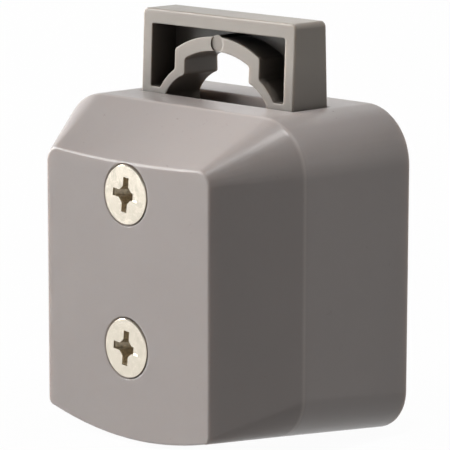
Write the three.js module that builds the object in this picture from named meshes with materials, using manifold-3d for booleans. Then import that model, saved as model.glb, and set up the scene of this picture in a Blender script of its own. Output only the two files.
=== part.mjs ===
// Push lock for a furniture door. A moulded case is screwed to the inner side of the door, a button
// works it from the outer side, and a dead bolt stands out of its top while the button is pushed in.
// Millimetres. Y = 0 is the rear face that lies on the door, -Y the front of the case, +Z the way the
// bolt shoots. The origin is where the axis of the button meets the rear face.
import * as THREE from 'three';
import { mergeVertices } from 'three/addons/utils/BufferGeometryUtils.js';
import Module from 'manifold-3d';

const wasm = await Module();
wasm.setup();

// Driving dimensions of the case
const caseWidth = 42.4;
const caseDepth = 27.5;
const backset = 19.45; // axis of the button to the top of the case
const axisToBottom = 20.85; // axis of the button to the bottom edge of the rear face
const frontFaceWidth = 28.1;
const ridgeDrop = 5.82; // top edge of the front face, below the top of the case
const ridgeSag = 0.42; // that edge bows down in its middle
const frontBottomRise = 1.95; // ends of the front face's bottom edge, over the rear bottom edge
const frontBottomSag = 1.8; // that edge bows down in its middle
const frontCornerRadius = 1.1;
const shoulderDepth = 9.15; // the slanted facets end this far behind the front face
const shoulderBottomRise = 2.4;
const shoulderBottomSag = 1.5;
const shoulderTopRadius = 7.2;
const shoulderBottomRadius = 6.5;
const rearTopRadius = 6.8;
const rearBottomRadius = 4.9;
const ridgeRounding = 0.45; // reach of the rounding round the front face
const shoulderRounding = 0.9; // reach of the rounding where the facets end
const wall = 2.0;
const frontWall = 2.2;

// Fixing screws, one over and one under the axis of the button
const screwPitch = 18.9;
const screwDiameter = 4.0;
const screwHeadDiameter = 7.5;
const screwHeadRim = 0.3;
const screwLength = 40;
const screwProud = 0.08; // head over the front face
const screwBossWall = 1.1;
const recessSpan = 4.3; // cross recess, tip to tip
const recessWidth = 0.95;
const recessDepth = 1.9;
const recessFloorSpan = 1.7;
const screwTipChamfer = 0.7;

// Bolt
const boltWidth = 26.8;
const boltThickness = 6.09;
const boltProjection = 10.5; // stands this far out of the case when locked
const boltRearGap = 6.34; // rear face of the case to the rear of the bolt
const boltDraft = 0.38; // each broad side leans in by this much at the top
const boltCornerRadius = 0.7;
const boltSideWall = 1.72;
const boltTopWall = 1.85;
const boltFootWall = 0.7;
const pocketDepth = 4.4;
const archHalfWidth = 5.63; // inside of the arch
const archWall = 1.8;
const archShoulder = 4.7; // the upright sides end here, over the top of the case
const archCrown = 6.05;
const archKnee = 2.65; // the upright sides start here, over the flared feet
const archFootHalfWidth = 8.95;
const archFootRadius = 6.0;
const archFootWall = 1.25;
const padDiameter = 2.1;
const padSink = 0.3; // face of the pad behind the front of the arch
const padUnderCrown = 0.07; // lowest point of the pad under the inner crown
const railThickness = 1.3;
const cheekTopGap = 1.4; // cheeks to the inside of the top wall
const slotClearance = 0.2;

// Plunger, cam slider and button
const buttonTravel = 8.4;
const pressTravel = 0.6; // further push that frees the latch
const plungerDiameter = 9.4;
const plungerSpigotDiameter = 7.0;
const plungerSpigotLength = 3.4;
const plungerPinDiameter = 2.0;
const bushWall = 1.25;
const bushReach = 5.5; // bush stands this far behind the rear face
const buttonDiameter = 12.4;
const buttonLength = 5.0;
const buttonEdge = 0.8;
const buttonScrewDiameter = 3.0;
const buttonScrewHeadDiameter = 5.4;
const buttonScrewHeadHeight = 1.7;
const buttonScrewGrip = 7.5; // length of the screw in the plunger
const buttonScrewRounding = 0.3;
const sliderHalfWidth = 6.9;
const sliderLegReach = 2.2; // legs of the slider under the axis of the lower screw
const sliderFrontGap = 1.5;
const camPinDiameter = 2.6;
const camPinSeat = 2.3; // length of the pin in the slider
const camSlotMargin = 2.0; // wall of the cheek round the cam slot

// Spring
const springMeanRadius = 3.2;
const springWire = 0.8;
const springTurns = 6;
const springPocketRadius = 4.1;
const springWasherThickness = 0.5;
const springPostLength = 3.0;
const pocketFloor = 1.2;

// Latch wire and its track on the slider
const wireDiameter = 1.2;
const wireBend = 1.1;
const latchPinReach = 1.0; // pin of the wire in the track
const latchTrackDepth = 1.35;
const latchPinInset = 2.4; // pin of the wire ahead of the slider's rear face
const latchPivotDrop = 8.3; // pivot under the axis of the button
const latchPinLift = 1.1; // pin over the pivot when locked
const latchLoopRise = 2.8; // loading groove over the release groove
const latchEarWidth = 2.4;
const latchEarReach = 2.5;

// Back plate
const plateThickness = 2.5;
const plateRim = 1.6; // wall of the case left round the plate
const plateScrewDiameter = 2.2;
const plateScrewHeadDiameter = 4.2;
const plateScrewLength = 8;
const plateScrewSink = 0.1; // head below the rear face
const plateScrewBossWall = 1.25;
const plateScrewInsetX = 4.8; // from the side of the case
const plateScrewInsetZ = 6.6; // from the top and the bottom edge of the case
const guideRibThickness = 1.3;

// Clearances
const runningGap = 0.3;
const seatGap = 0.1;
const pressGap = 0.1;
const holeClearance = 0.2;

// Facets
const weldDistance = 1e-4;
const edgeSteps = 8;
const cornerSteps = 6;
const arcSteps = 5;
const roundingSteps = 3;
const roundSides = 24;
const smallSides = 16;

// Places that follow from the dimensions
const frontY = -caseDepth;
const innerFrontY = frontY + frontWall;
const plateInnerY = -plateThickness;
const innerTop = backset - wall;
const upperScrewZ = screwPitch / 2;
const lowerScrewZ = -screwPitch / 2;
const screwBoreRadius = screwDiameter / 2 + holeClearance;
const screwBossRadius = screwBoreRadius + screwBossWall;
const boltHalfWidth = boltWidth / 2;
const boltRearY = -boltRearGap;
const boltFrontY = boltRearY - boltThickness;
const boltTop = backset + boltProjection;
const camRatio = boltProjection / buttonTravel;
const plungerRadius = plungerDiameter / 2;
const bushInnerRadius = plungerRadius + runningGap;
const bushOuterRadius = bushInnerRadius + bushWall;
const sliderRearY = plateInnerY - runningGap - buttonTravel;
const sliderFrontY = innerFrontY + sliderFrontGap;
const sliderHalfHeight = screwPitch / 2 - screwBossRadius - runningGap;
const sliderLegBottom = lowerScrewZ - sliderLegReach;
const sliderLegInner = screwBossRadius + runningGap;
const spigotEndY = sliderRearY - plungerSpigotLength;
const plungerPinY = sliderRearY - plungerSpigotLength / 2;
const springSeatY = spigotEndY - holeClearance - pocketFloor;
const springRearY = springSeatY - springWasherThickness - seatGap;
const springFrontY = innerFrontY + seatGap;
const buttonSeatY = bushReach + pressTravel + runningGap;
const buttonEndY = buttonSeatY + seatGap + buttonLength;
const buttonScrewHeadY = buttonEndY - buttonScrewHeadHeight - buttonEdge;
const wireRadius = wireDiameter / 2;
const wirePlaneX = sliderHalfWidth + runningGap + wireRadius;
const latchPivotY = plateInnerY - latchEarReach / 2;
const latchPivotZ = -latchPivotDrop;
const latchPinY = sliderRearY - latchPinInset;
const latchPinZ = latchPivotZ + latchPinLift;
const cheekInnerX = wirePlaneX + wireRadius + 2 * runningGap;
const cheekOuterX = boltHalfWidth - railThickness;
const cheekRearY = plateInnerY - latchEarReach - runningGap;
const camSlotRadius = camPinDiameter / 2 + runningGap;
const camPinY = cheekRearY - camSlotMargin - camSlotRadius - buttonTravel;
const camPinZ = 0;
const cheekFrontY = camPinY - pressTravel - camSlotRadius - camSlotMargin;
const cheekBottom = camPinZ - camRatio * pressTravel - camSlotRadius - camSlotMargin;
const cheekTop = innerTop - cheekTopGap;
const plateScrewX = caseWidth / 2 - plateScrewInsetX;
const plateScrewTopZ = backset - plateScrewInsetZ;
const plateScrewBottomZ = plateScrewInsetZ - axisToBottom;
const plateScrewPlaces = [
  [-plateScrewX, plateScrewTopZ],
  [plateScrewX, plateScrewTopZ],
  [-plateScrewX, plateScrewBottomZ],
  [plateScrewX, plateScrewBottomZ],
];

// Finishes
const greyPlastic = { color: 0x9f9793, roughness: 0.35, metalness: 0 };
const boltPlastic = { color: 0xa89f97, roughness: 0.4, metalness: 0 };
const darkPlastic = { color: 0x4a4846, roughness: 0.45, metalness: 0 };
const nickel = { color: 0xd9d2c4, roughness: 0.25, metalness: 1 };
const steel = { color: 0xa8aaac, roughness: 0.35, metalness: 1 };
const brass = { color: 0xb99a5b, roughness: 0.3, metalness: 1 };

// Solids: closed meshes that can be joined and cut
function toSolid(geometry) {
  const bare = new THREE.BufferGeometry();
  bare.setAttribute('position', geometry.getAttribute('position'));
  bare.setIndex(geometry.index);
  const merged = mergeVertices(bare, weldDistance);
  const corners = merged.index.array;
  const triangles = [];
  for (let i = 0; i < corners.length; i += 3) {
    const [a, b, c] = corners.slice(i, i + 3);
    if (a !== b && b !== c && c !== a) {
      triangles.push(a, b, c);
    }
  }
  return new wasm.Manifold(new wasm.Mesh({
    numProp: 3,
    vertProperties: new Float32Array(merged.getAttribute('position').array),
    triVerts: new Uint32Array(triangles),
  }));
}

function toMesh(name, solid, finish) {
  const { vertProperties, triVerts } = solid.getMesh();
  const geometry = new THREE.BufferGeometry();
  geometry.setAttribute('position', new THREE.BufferAttribute(vertProperties, 3));
  geometry.setIndex(new THREE.BufferAttribute(triVerts, 1));
  geometry.computeVertexNormals();
  const mesh = new THREE.Mesh(geometry, new THREE.MeshStandardMaterial(finish));
  mesh.name = name;
  return mesh;
}

function box(lowX, highX, lowY, highY, lowZ, highZ) {
  const geometry = new THREE.BoxGeometry(highX - lowX, highY - lowY, highZ - lowZ);
  return toSolid(geometry.translate((lowX + highX) / 2, (lowY + highY) / 2, (lowZ + highZ) / 2));
}

// Round bar along Y
function barY(radius, lowY, highY, x, z, sides = roundSides) {
  const geometry = new THREE.CylinderGeometry(radius, radius, highY - lowY, sides);
  return toSolid(geometry.translate(x, (lowY + highY) / 2, z));
}

// Round bar along X
function barX(radius, lowX, highX, y, z, sides = smallSides) {
  const geometry = new THREE.CylinderGeometry(radius, radius, highX - lowX, sides);
  geometry.rotateZ(Math.PI / 2);
  return toSolid(geometry.translate((lowX + highX) / 2, y, z));
}

// Round bar along Z
function barZ(radius, lowZ, highZ, x, y, sides = smallSides) {
  const geometry = new THREE.CylinderGeometry(radius, radius, highZ - lowZ, sides);
  geometry.rotateX(Math.PI / 2);
  return toSolid(geometry.translate(x, y, (lowZ + highZ) / 2));
}

// Piece turned about an axis along Y from a profile of [radius, y] that runs from the front to the rear
function turned(profile, sides = roundSides, x = 0, z = 0) {
  const geometry = new THREE.LatheGeometry(profile.map(([r, y]) => new THREE.Vector2(r, y)), sides);
  return toSolid(geometry.translate(x, 0, z));
}

function extrude(shape, depth) {
  return new THREE.ExtrudeGeometry(shape, { depth, bevelEnabled: false, curveSegments: arcSteps });
}

// Profile drawn in X and Z, extruded along Y
function extrudeY(shape, lowY, highY) {
  return extrude(shape, highY - lowY).rotateX(Math.PI / 2).translate(0, highY, 0);
}

// Profile drawn in Y and Z, extruded along X
function extrudeX(shape, lowX, highX) {
  const turn = new THREE.Matrix4().makeBasis(
    new THREE.Vector3(0, 1, 0),
    new THREE.Vector3(0, 0, 1),
    new THREE.Vector3(1, 0, 0),
  );
  return toSolid(extrude(shape, highX - lowX).applyMatrix4(turn).translate(lowX, 0, 0));
}

// Skin over rings of points that run clockwise, seen along the way from the first ring to the last.
// Both ends are closed by a fan round their middle.
function loft(rings) {
  const count = rings[0].length;
  const middle = (ring) => ring.reduce((sum, p) => sum.add(p), new THREE.Vector3()).divideScalar(count);
  const points = [...rings.flat(), middle(rings[0]), middle(rings.at(-1))];
  const firstMiddle = rings.length * count;
  const lastMiddle = firstMiddle + 1;
  const lastStart = (rings.length - 1) * count;
  const index = [];
  for (let k = 0; k < rings.length - 1; k++) {
    for (let i = 0; i < count; i++) {
      const next = (i + 1) % count;
      const a = k * count + i;
      const b = k * count + next;
      index.push(a, b, a + count, b, b + count, a + count);
    }
  }
  for (let i = 0; i < count; i++) {
    const next = (i + 1) % count;
    index.push(next, i, firstMiddle);
    index.push(lastStart + i, lastStart + next, lastMiddle);
  }
  const geometry = new THREE.BufferGeometry().setFromPoints(points);
  geometry.setIndex(index);
  return toSolid(geometry);
}

// Groove with round ends from one point to another, drawn in Y and Z
function grooveShape([startY, startZ], [endY, endZ], radius) {
  const heading = Math.atan2(endZ - startZ, endY - startY);
  const shape = new THREE.Shape();
  shape.absarc(startY, startZ, radius, heading + Math.PI / 2, heading + 1.5 * Math.PI, false);
  shape.absarc(endY, endZ, radius, heading - Math.PI / 2, heading + Math.PI / 2, false);
  return shape;
}

function polygon(points) {
  return new THREE.Shape(points.map(([u, v]) => new THREE.Vector2(u, v)));
}

function joined(solids) {
  return solids.reduce((whole, solid) => whole.add(solid));
}

function cut(body, tools) {
  return tools.reduce((rest, tool) => rest.subtract(tool), body);
}

// Case: outlines across its depth, as rings in X and Z
function outlineRing({ halfWidth, top, topSag, topRadius, bottom, bottomSag, bottomRadius }) {
  const ring = [];
  const edge = (halfLength, height, sag, direction) => {
    for (let i = 0; i <= edgeSteps; i++) {
      const along = direction * (2 * i / edgeSteps - 1);
      ring.push(new THREE.Vector2(along * halfLength, height - sag * (1 - along * along)));
    }
  };
  const corner = (centreX, centreZ, radius, startAngle, firstStep, lastStep) => {
    for (let i = firstStep; i <= lastStep; i++) {
      const angle = THREE.MathUtils.degToRad(startAngle - 90 * i / cornerSteps);
      ring.push(new THREE.Vector2(centreX + radius * Math.cos(angle), centreZ + radius * Math.sin(angle)));
    }
  };
  const topX = halfWidth - topRadius;
  const bottomX = halfWidth - bottomRadius;
  edge(topX, top, topSag, 1);
  corner(topX, top - topRadius, topRadius, 90, 1, cornerSteps);
  corner(bottomX, bottom + bottomRadius, bottomRadius, 0, 0, cornerSteps - 1);
  edge(bottomX, bottom, bottomSag, -1);
  corner(-bottomX, bottom + bottomRadius, bottomRadius, -90, 1, cornerSteps);
  corner(-topX, top - topRadius, topRadius, 180, 0, cornerSteps - 1);
  return ring;
}

function frontOutline(inset) {
  return outlineRing({
    halfWidth: frontFaceWidth / 2 - inset,
    top: backset - ridgeDrop - inset,
    topSag: ridgeSag,
    topRadius: frontCornerRadius,
    bottom: frontBottomRise - axisToBottom + inset,
    bottomSag: frontBottomSag,
    bottomRadius: frontCornerRadius,
  });
}

function shoulderOutline(inset) {
  return outlineRing({
    halfWidth: caseWidth / 2 - inset,
    top: backset - inset,
    topSag: 0,
    topRadius: shoulderTopRadius - inset,
    bottom: shoulderBottomRise - axisToBottom + inset,
    bottomSag: shoulderBottomSag,
    bottomRadius: shoulderBottomRadius - inset,
  });
}

function rearOutline(inset) {
  return outlineRing({
    halfWidth: caseWidth / 2 - inset,
    top: backset - inset,
    topSag: 0,
    topRadius: rearTopRadius - inset,
    bottom: inset - axisToBottom,
    bottomSag: 0,
    bottomRadius: rearBottomRadius - inset,
  });
}

const atDepth = (ring, y) => ring.map((p) => new THREE.Vector3(p.x, y, p.y));

// Rings that round the corner where one ring meets the lines to the rings before and after it
function roundedRings(before, ring, after, reach) {
  const rings = [];
  for (let step = 0; step <= roundingSteps; step++) {
    const t = step / roundingSteps;
    rings.push(ring.map((point, i) => {
      const towardsBefore = before[i].clone().sub(point).setLength(reach);
      const towardsAfter = after[i].clone().sub(point).setLength(reach);
      return point.clone()
        .addScaledVector(towardsBefore, (1 - t) ** 2)
        .addScaledVector(towardsAfter, t ** 2);
    }));
  }
  return rings;
}

function caseOuter() {
  const face = atDepth(frontOutline(0), frontY);
  const faceMiddle = face.map(() => new THREE.Vector3(0, frontY, 0));
  const shoulder = atDepth(shoulderOutline(0), frontY + shoulderDepth);
  const rear = atDepth(rearOutline(0), 0);
  return loft([
    ...roundedRings(faceMiddle, face, shoulder, ridgeRounding),
    ...roundedRings(face, shoulder, rear, shoulderRounding),
    rear,
  ]);
}

// Inside of the walls, open to the rear
function caseCavity() {
  const facetAngle = Math.atan2((caseWidth - frontFaceWidth) / 2, shoulderDepth);
  const frontInset = wall * Math.tan((Math.PI / 2 - facetAngle) / 2);
  const shoulderShift = wall * Math.tan(facetAngle / 2);
  return loft([
    atDepth(frontOutline(frontInset), innerFrontY),
    atDepth(shoulderOutline(wall), frontY + shoulderDepth + shoulderShift),
    atDepth(rearOutline(wall), plateInnerY),
    atDepth(rearOutline(wall), wall),
  ]);
}

function plateRecess(gap, highY) {
  const outline = rearOutline(plateRim + gap);
  return loft([atDepth(outline, plateInnerY), atDepth(outline, highY)]);
}

// Seat for a countersunk head whose flat lies sink under the face at faceY, with the hole for its shank
function countersink({ headDiameter, sink, gap, holeRadius, faceY, endY, sides, x, z }) {
  const inward = Math.sign(endY - faceY);
  const seatRadius = headDiameter / 2 + gap;
  const rim = sink + screwHeadRim;
  const profile = [
    [0, faceY - inward * wall],
    [seatRadius, faceY - inward * wall],
    [seatRadius, faceY + inward * rim],
    [holeRadius, faceY + inward * (rim + seatRadius - holeRadius)],
    [holeRadius, endY],
    [0, endY],
  ];
  return turned(inward > 0 ? profile : profile.reverse(), sides, x, z);
}

function buildCase() {
  const outer = caseOuter();
  const screwBores = [upperScrewZ, lowerScrewZ].map((z) => countersink({
    headDiameter: screwHeadDiameter,
    sink: -screwProud,
    gap: holeClearance,
    holeRadius: screwBoreRadius,
    faceY: frontY,
    endY: wall,
    sides: roundSides,
    x: 0,
    z,
  }));
  const screwBosses = [upperScrewZ, lowerScrewZ].map(
    (z) => barY(screwBossRadius, frontY + frontWall / 2, plateInnerY - seatGap, 0, z),
  );
  const springPost = barY(
    springMeanRadius - springWire / 2 - runningGap * 2,
    frontY + frontWall / 2,
    innerFrontY + springPostLength,
    0,
    0,
  );
  const plateBossRadius = plateScrewDiameter / 2 + plateScrewBossWall;
  const plateBossDepth = plateScrewLength + wall;
  const plateBosses = plateScrewPlaces.map(
    ([x, z]) => barY(plateBossRadius, plateInnerY - plateBossDepth, plateInnerY - seatGap, x, z, smallSides),
  );
  const plateBores = plateScrewPlaces.map(
    ([x, z]) => barY(plateScrewDiameter / 2 + pressGap, -plateScrewLength - seatGap, wall, x, z, smallSides),
  );
  const ribInner = cheekOuterX + runningGap;
  const ribs = [-1, 1].flatMap((side) => {
    const [lowX, highX] = [side * ribInner, side * caseWidth / 2].sort((a, b) => a - b);
    const frontRibRear = boltFrontY - runningGap;
    const rearRibFront = boltRearY + runningGap;
    return [
      box(lowX, highX, frontRibRear - guideRibThickness, frontRibRear, -axisToBottom, backset),
      box(lowX, highX, rearRibFront, rearRibFront + guideRibThickness, -axisToBottom, backset),
    ];
  });
  const boltSlot = box(
    -boltHalfWidth - slotClearance,
    boltHalfWidth + slotClearance,
    boltFrontY - slotClearance,
    boltRearY + slotClearance,
    cheekTop,
    boltTop,
  );
  const shell = cut(outer, [caseCavity()]);
  const inside = joined([...screwBosses, springPost, ...plateBosses, ...ribs]).intersect(outer);
  return cut(shell.add(inside), [plateRecess(0, wall), boltSlot, ...screwBores, ...plateBores]);
}

// Bolt: arcs of its arch, drawn in X and Z over the top of the case
const archFoot = { x: archFootHalfWidth, z: 0 };

// Arc of a flared foot through the knee and the foot, with its centre on the side of the opening
function flareAngles(halfWidth, knee, foot, radius) {
  const middleX = (halfWidth + foot.x) / 2;
  const middleZ = (knee + foot.z) / 2;
  const spanX = halfWidth - foot.x;
  const spanZ = knee - foot.z;
  const span = Math.hypot(spanX, spanZ);
  const offset = Math.sqrt(radius * radius - span * span / 4);
  const centre = { x: middleX - offset * spanZ / span, z: middleZ + offset * spanX / span };
  return {
    centre,
    atFoot: Math.atan2(foot.z - centre.z, foot.x - centre.x),
    atKnee: Math.atan2(knee - centre.z, halfWidth - centre.x),
  };
}

// Right foot, side, crown, left side and left foot of the arch
function drawArch(shape, { halfWidth, knee, shoulder, crown, foot, radius }) {
  const { centre, atFoot, atKnee } = flareAngles(halfWidth, knee, foot, radius);
  const rise = crown - shoulder;
  const crownRadius = (halfWidth * halfWidth + rise * rise) / (2 * rise);
  const crownAngle = Math.asin(halfWidth / crownRadius);
  const crownStart = Math.PI / 2 - crownAngle;
  const crownEnd = Math.PI / 2 + crownAngle;
  shape.absarc(centre.x, backset + centre.z, radius, atFoot, atKnee, false);
  shape.absarc(0, backset + crown - crownRadius, crownRadius, crownStart, crownEnd, false);
  shape.absarc(-centre.x, backset + centre.z, radius, Math.PI - atKnee, Math.PI - atFoot, false);
}

// Frame and arch with the legs that reach down through the slot
function boltHeadShape() {
  const cornerX = boltHalfWidth - boltCornerRadius;
  const cornerZ = boltTop - boltCornerRadius;
  const shape = new THREE.Shape();
  shape.moveTo(-archFootHalfWidth, cheekTop);
  shape.lineTo(-boltHalfWidth, cheekTop);
  shape.absarc(-cornerX, cornerZ, boltCornerRadius, Math.PI, Math.PI / 2, true);
  shape.absarc(cornerX, cornerZ, boltCornerRadius, Math.PI / 2, 0, true);
  shape.lineTo(boltHalfWidth, cheekTop);
  shape.lineTo(archFootHalfWidth, cheekTop);
  drawArch(shape, {
    halfWidth: archHalfWidth,
    knee: archKnee,
    shoulder: archShoulder,
    crown: archCrown,
    foot: archFoot,
    radius: archFootRadius,
  });
  return shape;
}

function boltPocketShape() {
  const pocketX = boltHalfWidth - boltSideWall;
  const pocketTop = boltTop - boltTopWall;
  const pocketBottom = backset + boltFootWall;
  const outerRadius = archFootRadius + archFootWall;
  const inner = flareAngles(archHalfWidth, archKnee, archFoot, archFootRadius);
  const footRise = boltFootWall - inner.centre.z;
  const footX = inner.centre.x + Math.sqrt(outerRadius * outerRadius - footRise * footRise);
  const outerHalf = archHalfWidth + archWall;
  const kneeRise = outerHalf - inner.centre.x;
  const outerKnee = inner.centre.z + Math.sqrt(outerRadius * outerRadius - kneeRise * kneeRise);
  const innerRise = archCrown - archShoulder;
  const crownSlope = 2 * Math.atan2(innerRise, archHalfWidth);
  const shape = new THREE.Shape();
  shape.moveTo(-footX, pocketBottom);
  shape.lineTo(-pocketX, pocketBottom);
  shape.lineTo(-pocketX, pocketTop);
  shape.lineTo(pocketX, pocketTop);
  shape.lineTo(pocketX, pocketBottom);
  drawArch(shape, {
    halfWidth: outerHalf,
    knee: outerKnee,
    shoulder: archShoulder + archWall * Math.tan((Math.PI / 2 - crownSlope) / 2),
    crown: archCrown + archWall,
    foot: { x: footX, z: boltFootWall },
    radius: outerRadius,
  });
  return shape;
}

// Both broad sides of the bolt lean in towards its top
function leanIn(geometry) {
  const middleY = (boltFrontY + boltRearY) / 2;
  const place = geometry.getAttribute('position');
  for (let i = 0; i < place.count; i++) {
    const rise = (place.getZ(i) - backset) / boltProjection;
    const offset = place.getY(i) - middleY;
    place.setY(i, middleY + offset * (1 - rise * 2 * boltDraft / boltThickness));
  }
  return geometry;
}

function buildBolt() {
  const head = toSolid(leanIn(extrudeY(boltHeadShape(), boltFrontY, boltRearY)));
  const pocket = toSolid(extrudeY(boltPocketShape(), boltFrontY - wall, boltFrontY + pocketDepth));
  const padRadius = padDiameter / 2;
  const padZ = backset + archCrown - padUnderCrown + padRadius;
  const padLean = boltDraft * (padZ - backset) / boltProjection;
  const padFaceY = boltFrontY + padLean + padSink;
  const pad = barY(padRadius, padFaceY, boltFrontY + pocketDepth, 0, padZ, smallSides);
  const padSeat = barY(padRadius, boltFrontY - wall, padFaceY, 0, padZ, smallSides);
  const camStart = [camPinY - pressTravel, camPinZ - camRatio * pressTravel];
  const camEnd = [camPinY + buttonTravel, camPinZ + camRatio * buttonTravel];
  const cheekShape = polygon([
    [cheekFrontY, cheekBottom],
    [camPinY + 2 * camSlotMargin, cheekBottom],
    [cheekRearY, camEnd[1] - camSlotMargin],
    [cheekRearY, cheekTop],
    [boltFrontY, cheekTop],
    [cheekFrontY, camPinZ + camSlotRadius + camSlotMargin],
  ]);
  const legs = [-1, 1].map((side) => {
    const span = (near, far) => [side * near, side * far].sort((a, b) => a - b);
    const [railLow, railHigh] = span(cheekInnerX, boltHalfWidth);
    const [cheekLow, cheekHigh] = span(cheekInnerX, cheekOuterX);
    const camSlot = extrudeX(grooveShape(camStart, camEnd, camSlotRadius), cheekLow - wall, cheekHigh + wall);
    const rail = box(railLow, railHigh, boltFrontY, boltRearY, cheekBottom, cheekTop + wall / 2);
    const cheek = extrudeX(cheekShape, cheekLow, cheekHigh);
    return cut(rail.add(cheek), [camSlot]);
  });
  return joined([cut(head, [pocket, padSeat]), pad, ...legs]);
}

// Cam slider: a block between the screw bosses, with legs astride the lower boss
function buildCamSlider() {
  const block = box(
    -sliderHalfWidth,
    sliderHalfWidth,
    sliderFrontY,
    sliderRearY,
    -sliderHalfHeight,
    sliderHalfHeight,
  );
  const legs = [-1, 1].map((side) => {
    const [lowX, highX] = [side * sliderLegInner, side * sliderHalfWidth].sort((a, b) => a - b);
    return box(lowX, highX, sliderFrontY, sliderRearY, sliderLegBottom, -sliderHalfHeight + wall);
  });
  const springPocket = barY(springPocketRadius, sliderFrontY - wall, springSeatY, 0, 0);
  const socketRadius = plungerSpigotDiameter / 2 + pressGap;
  const socket = barY(socketRadius, spigotEndY - holeClearance, sliderRearY + wall, 0, 0);
  const crossHole = barZ(plungerPinDiameter / 2 + pressGap, -axisToBottom, backset, 0, plungerPinY);
  const pinHoles = [-1, 1].map((side) => {
    const [lowX, highX] = [side * (sliderHalfWidth - camPinSeat), side * caseWidth].sort((a, b) => a - b);
    return barX(camPinDiameter / 2 + pressGap, lowX, highX, camPinY, camPinZ);
  });
  const grooveRadius = wireRadius + runningGap;
  const releaseRear = [latchPinY + pressTravel, latchPinZ];
  const releaseFront = [latchPinY - buttonTravel, latchPivotZ - latchPinLift];
  const loopFront = [camPinY, latchPinZ + latchLoopRise];
  const loopRear = [latchPinY, latchPinZ + latchLoopRise];
  const grooves = [
    [releaseRear, [latchPinY, latchPinZ]],
    [[latchPinY, latchPinZ], releaseFront],
    [releaseFront, loopFront],
    [loopFront, loopRear],
    [loopRear, releaseRear],
  ];
  const track = grooves.map(([start, end]) => extrudeX(
    grooveShape(start, end, grooveRadius),
    sliderHalfWidth - latchTrackDepth,
    sliderHalfWidth + wall,
  ));
  return cut(joined([block, ...legs]), [springPocket, socket, crossHole, ...pinHoles, ...track]);
}

function buildPlunger() {
  const body = turned([
    [0, spigotEndY],
    [plungerSpigotDiameter / 2, spigotEndY],
    [plungerSpigotDiameter / 2, sliderRearY + seatGap],
    [plungerRadius, sliderRearY + seatGap],
    [plungerRadius, buttonSeatY],
    [0, buttonSeatY],
  ]);
  const crossHole = barZ(plungerPinDiameter / 2 + pressGap, -axisToBottom, backset, 0, plungerPinY);
  const screwHole = barY(
    buttonScrewDiameter / 2 + pressGap,
    buttonSeatY - buttonScrewGrip - seatGap * 2,
    buttonSeatY + wall,
    0,
    0,
    smallSides,
  );
  return cut(body, [crossHole, screwHole]);
}

function buildPushButton() {
  const radius = buttonDiameter / 2;
  const body = turned([
    [0, buttonSeatY + seatGap],
    [radius, buttonSeatY + seatGap],
    [radius, buttonEndY - buttonEdge],
    [radius - buttonEdge * (1 - Math.SQRT1_2), buttonEndY - buttonEdge * (1 - Math.SQRT1_2)],
    [radius - buttonEdge, buttonEndY],
    [0, buttonEndY],
  ]);
  const holeRadius = buttonScrewDiameter / 2 + holeClearance;
  const hole = barY(holeRadius, buttonSeatY - wall, buttonEndY, 0, 0, smallSides);
  const headRecess = barY(
    buttonScrewHeadDiameter / 2 + holeClearance,
    buttonScrewHeadY - seatGap,
    buttonEndY + wall,
    0,
    0,
  );
  return cut(body, [hole, headRecess]);
}

// Cross recess for a screwdriver, sunk into a head whose flat face lies at faceY
function crossRecess(faceY) {
  const blade = polygon([
    [-recessSpan / 2, faceY - recessWidth],
    [recessSpan / 2, faceY - recessWidth],
    [recessSpan / 2, faceY],
    [recessFloorSpan / 2, faceY + recessDepth],
    [-recessFloorSpan / 2, faceY + recessDepth],
    [-recessSpan / 2, faceY],
  ]);
  const flat = extrude(blade, recessWidth).translate(0, 0, -recessWidth / 2);
  const upright = flat.clone().rotateY(Math.PI / 2);
  return toSolid(flat).add(toSolid(upright));
}

function buildFixingScrew() {
  const faceY = frontY - screwProud;
  const endY = faceY + screwLength;
  const headRadius = screwHeadDiameter / 2;
  const shankRadius = screwDiameter / 2;
  const rimEndY = faceY + screwHeadRim;
  const body = turned([
    [0, faceY],
    [headRadius, faceY],
    [headRadius, rimEndY],
    [shankRadius, rimEndY + headRadius - shankRadius],
    [shankRadius, endY - screwTipChamfer],
    [shankRadius - screwTipChamfer, endY],
    [0, endY],
  ]);
  return cut(body, [crossRecess(faceY)]);
}

function buildPlateScrew() {
  const faceY = -plateScrewSink;
  const headRadius = plateScrewHeadDiameter / 2;
  const shankRadius = plateScrewDiameter / 2;
  return turned([
    [0, -plateScrewLength],
    [shankRadius, -plateScrewLength + shankRadius],
    [shankRadius, faceY - screwHeadRim - headRadius + shankRadius],
    [headRadius, faceY - screwHeadRim],
    [headRadius, faceY],
    [0, faceY],
  ], smallSides);
}

function buildBackPlate() {
  const plate = plateRecess(seatGap, 0);
  const ear = box(
    wirePlaneX + wireRadius + runningGap,
    wirePlaneX + wireRadius + runningGap + latchEarWidth,
    plateInnerY - latchEarReach,
    plateInnerY + seatGap,
    latchPivotZ - latchEarReach / 2,
    latchPivotZ + latchEarReach / 2,
  );
  const pivotHole = barX(wireRadius + pressGap, 0, caseWidth / 2, latchPivotY, latchPivotZ);
  const bushHole = barY(bushOuterRadius + pressGap, plateInnerY - wall, wall, 0, 0, roundSides);
  const screwHoles = [upperScrewZ, lowerScrewZ].map(
    (z) => barY(screwBoreRadius, plateInnerY - wall, wall, 0, z),
  );
  const plateScrewHoles = plateScrewPlaces.map(([x, z]) => countersink({
    headDiameter: plateScrewHeadDiameter,
    sink: plateScrewSink,
    gap: pressGap,
    holeRadius: plateScrewDiameter / 2 + pressGap,
    faceY: 0,
    endY: plateInnerY - wall,
    sides: smallSides,
    x,
    z,
  }));
  return cut(plate.add(cut(ear, [pivotHole])), [bushHole, ...screwHoles, ...plateScrewHoles]);
}

function buildBush() {
  return turned([
    [bushInnerRadius, plateInnerY],
    [bushOuterRadius, plateInnerY],
    [bushOuterRadius, bushReach],
    [bushInnerRadius, bushReach],
    [bushInnerRadius, plateInnerY],
  ]);
}

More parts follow.
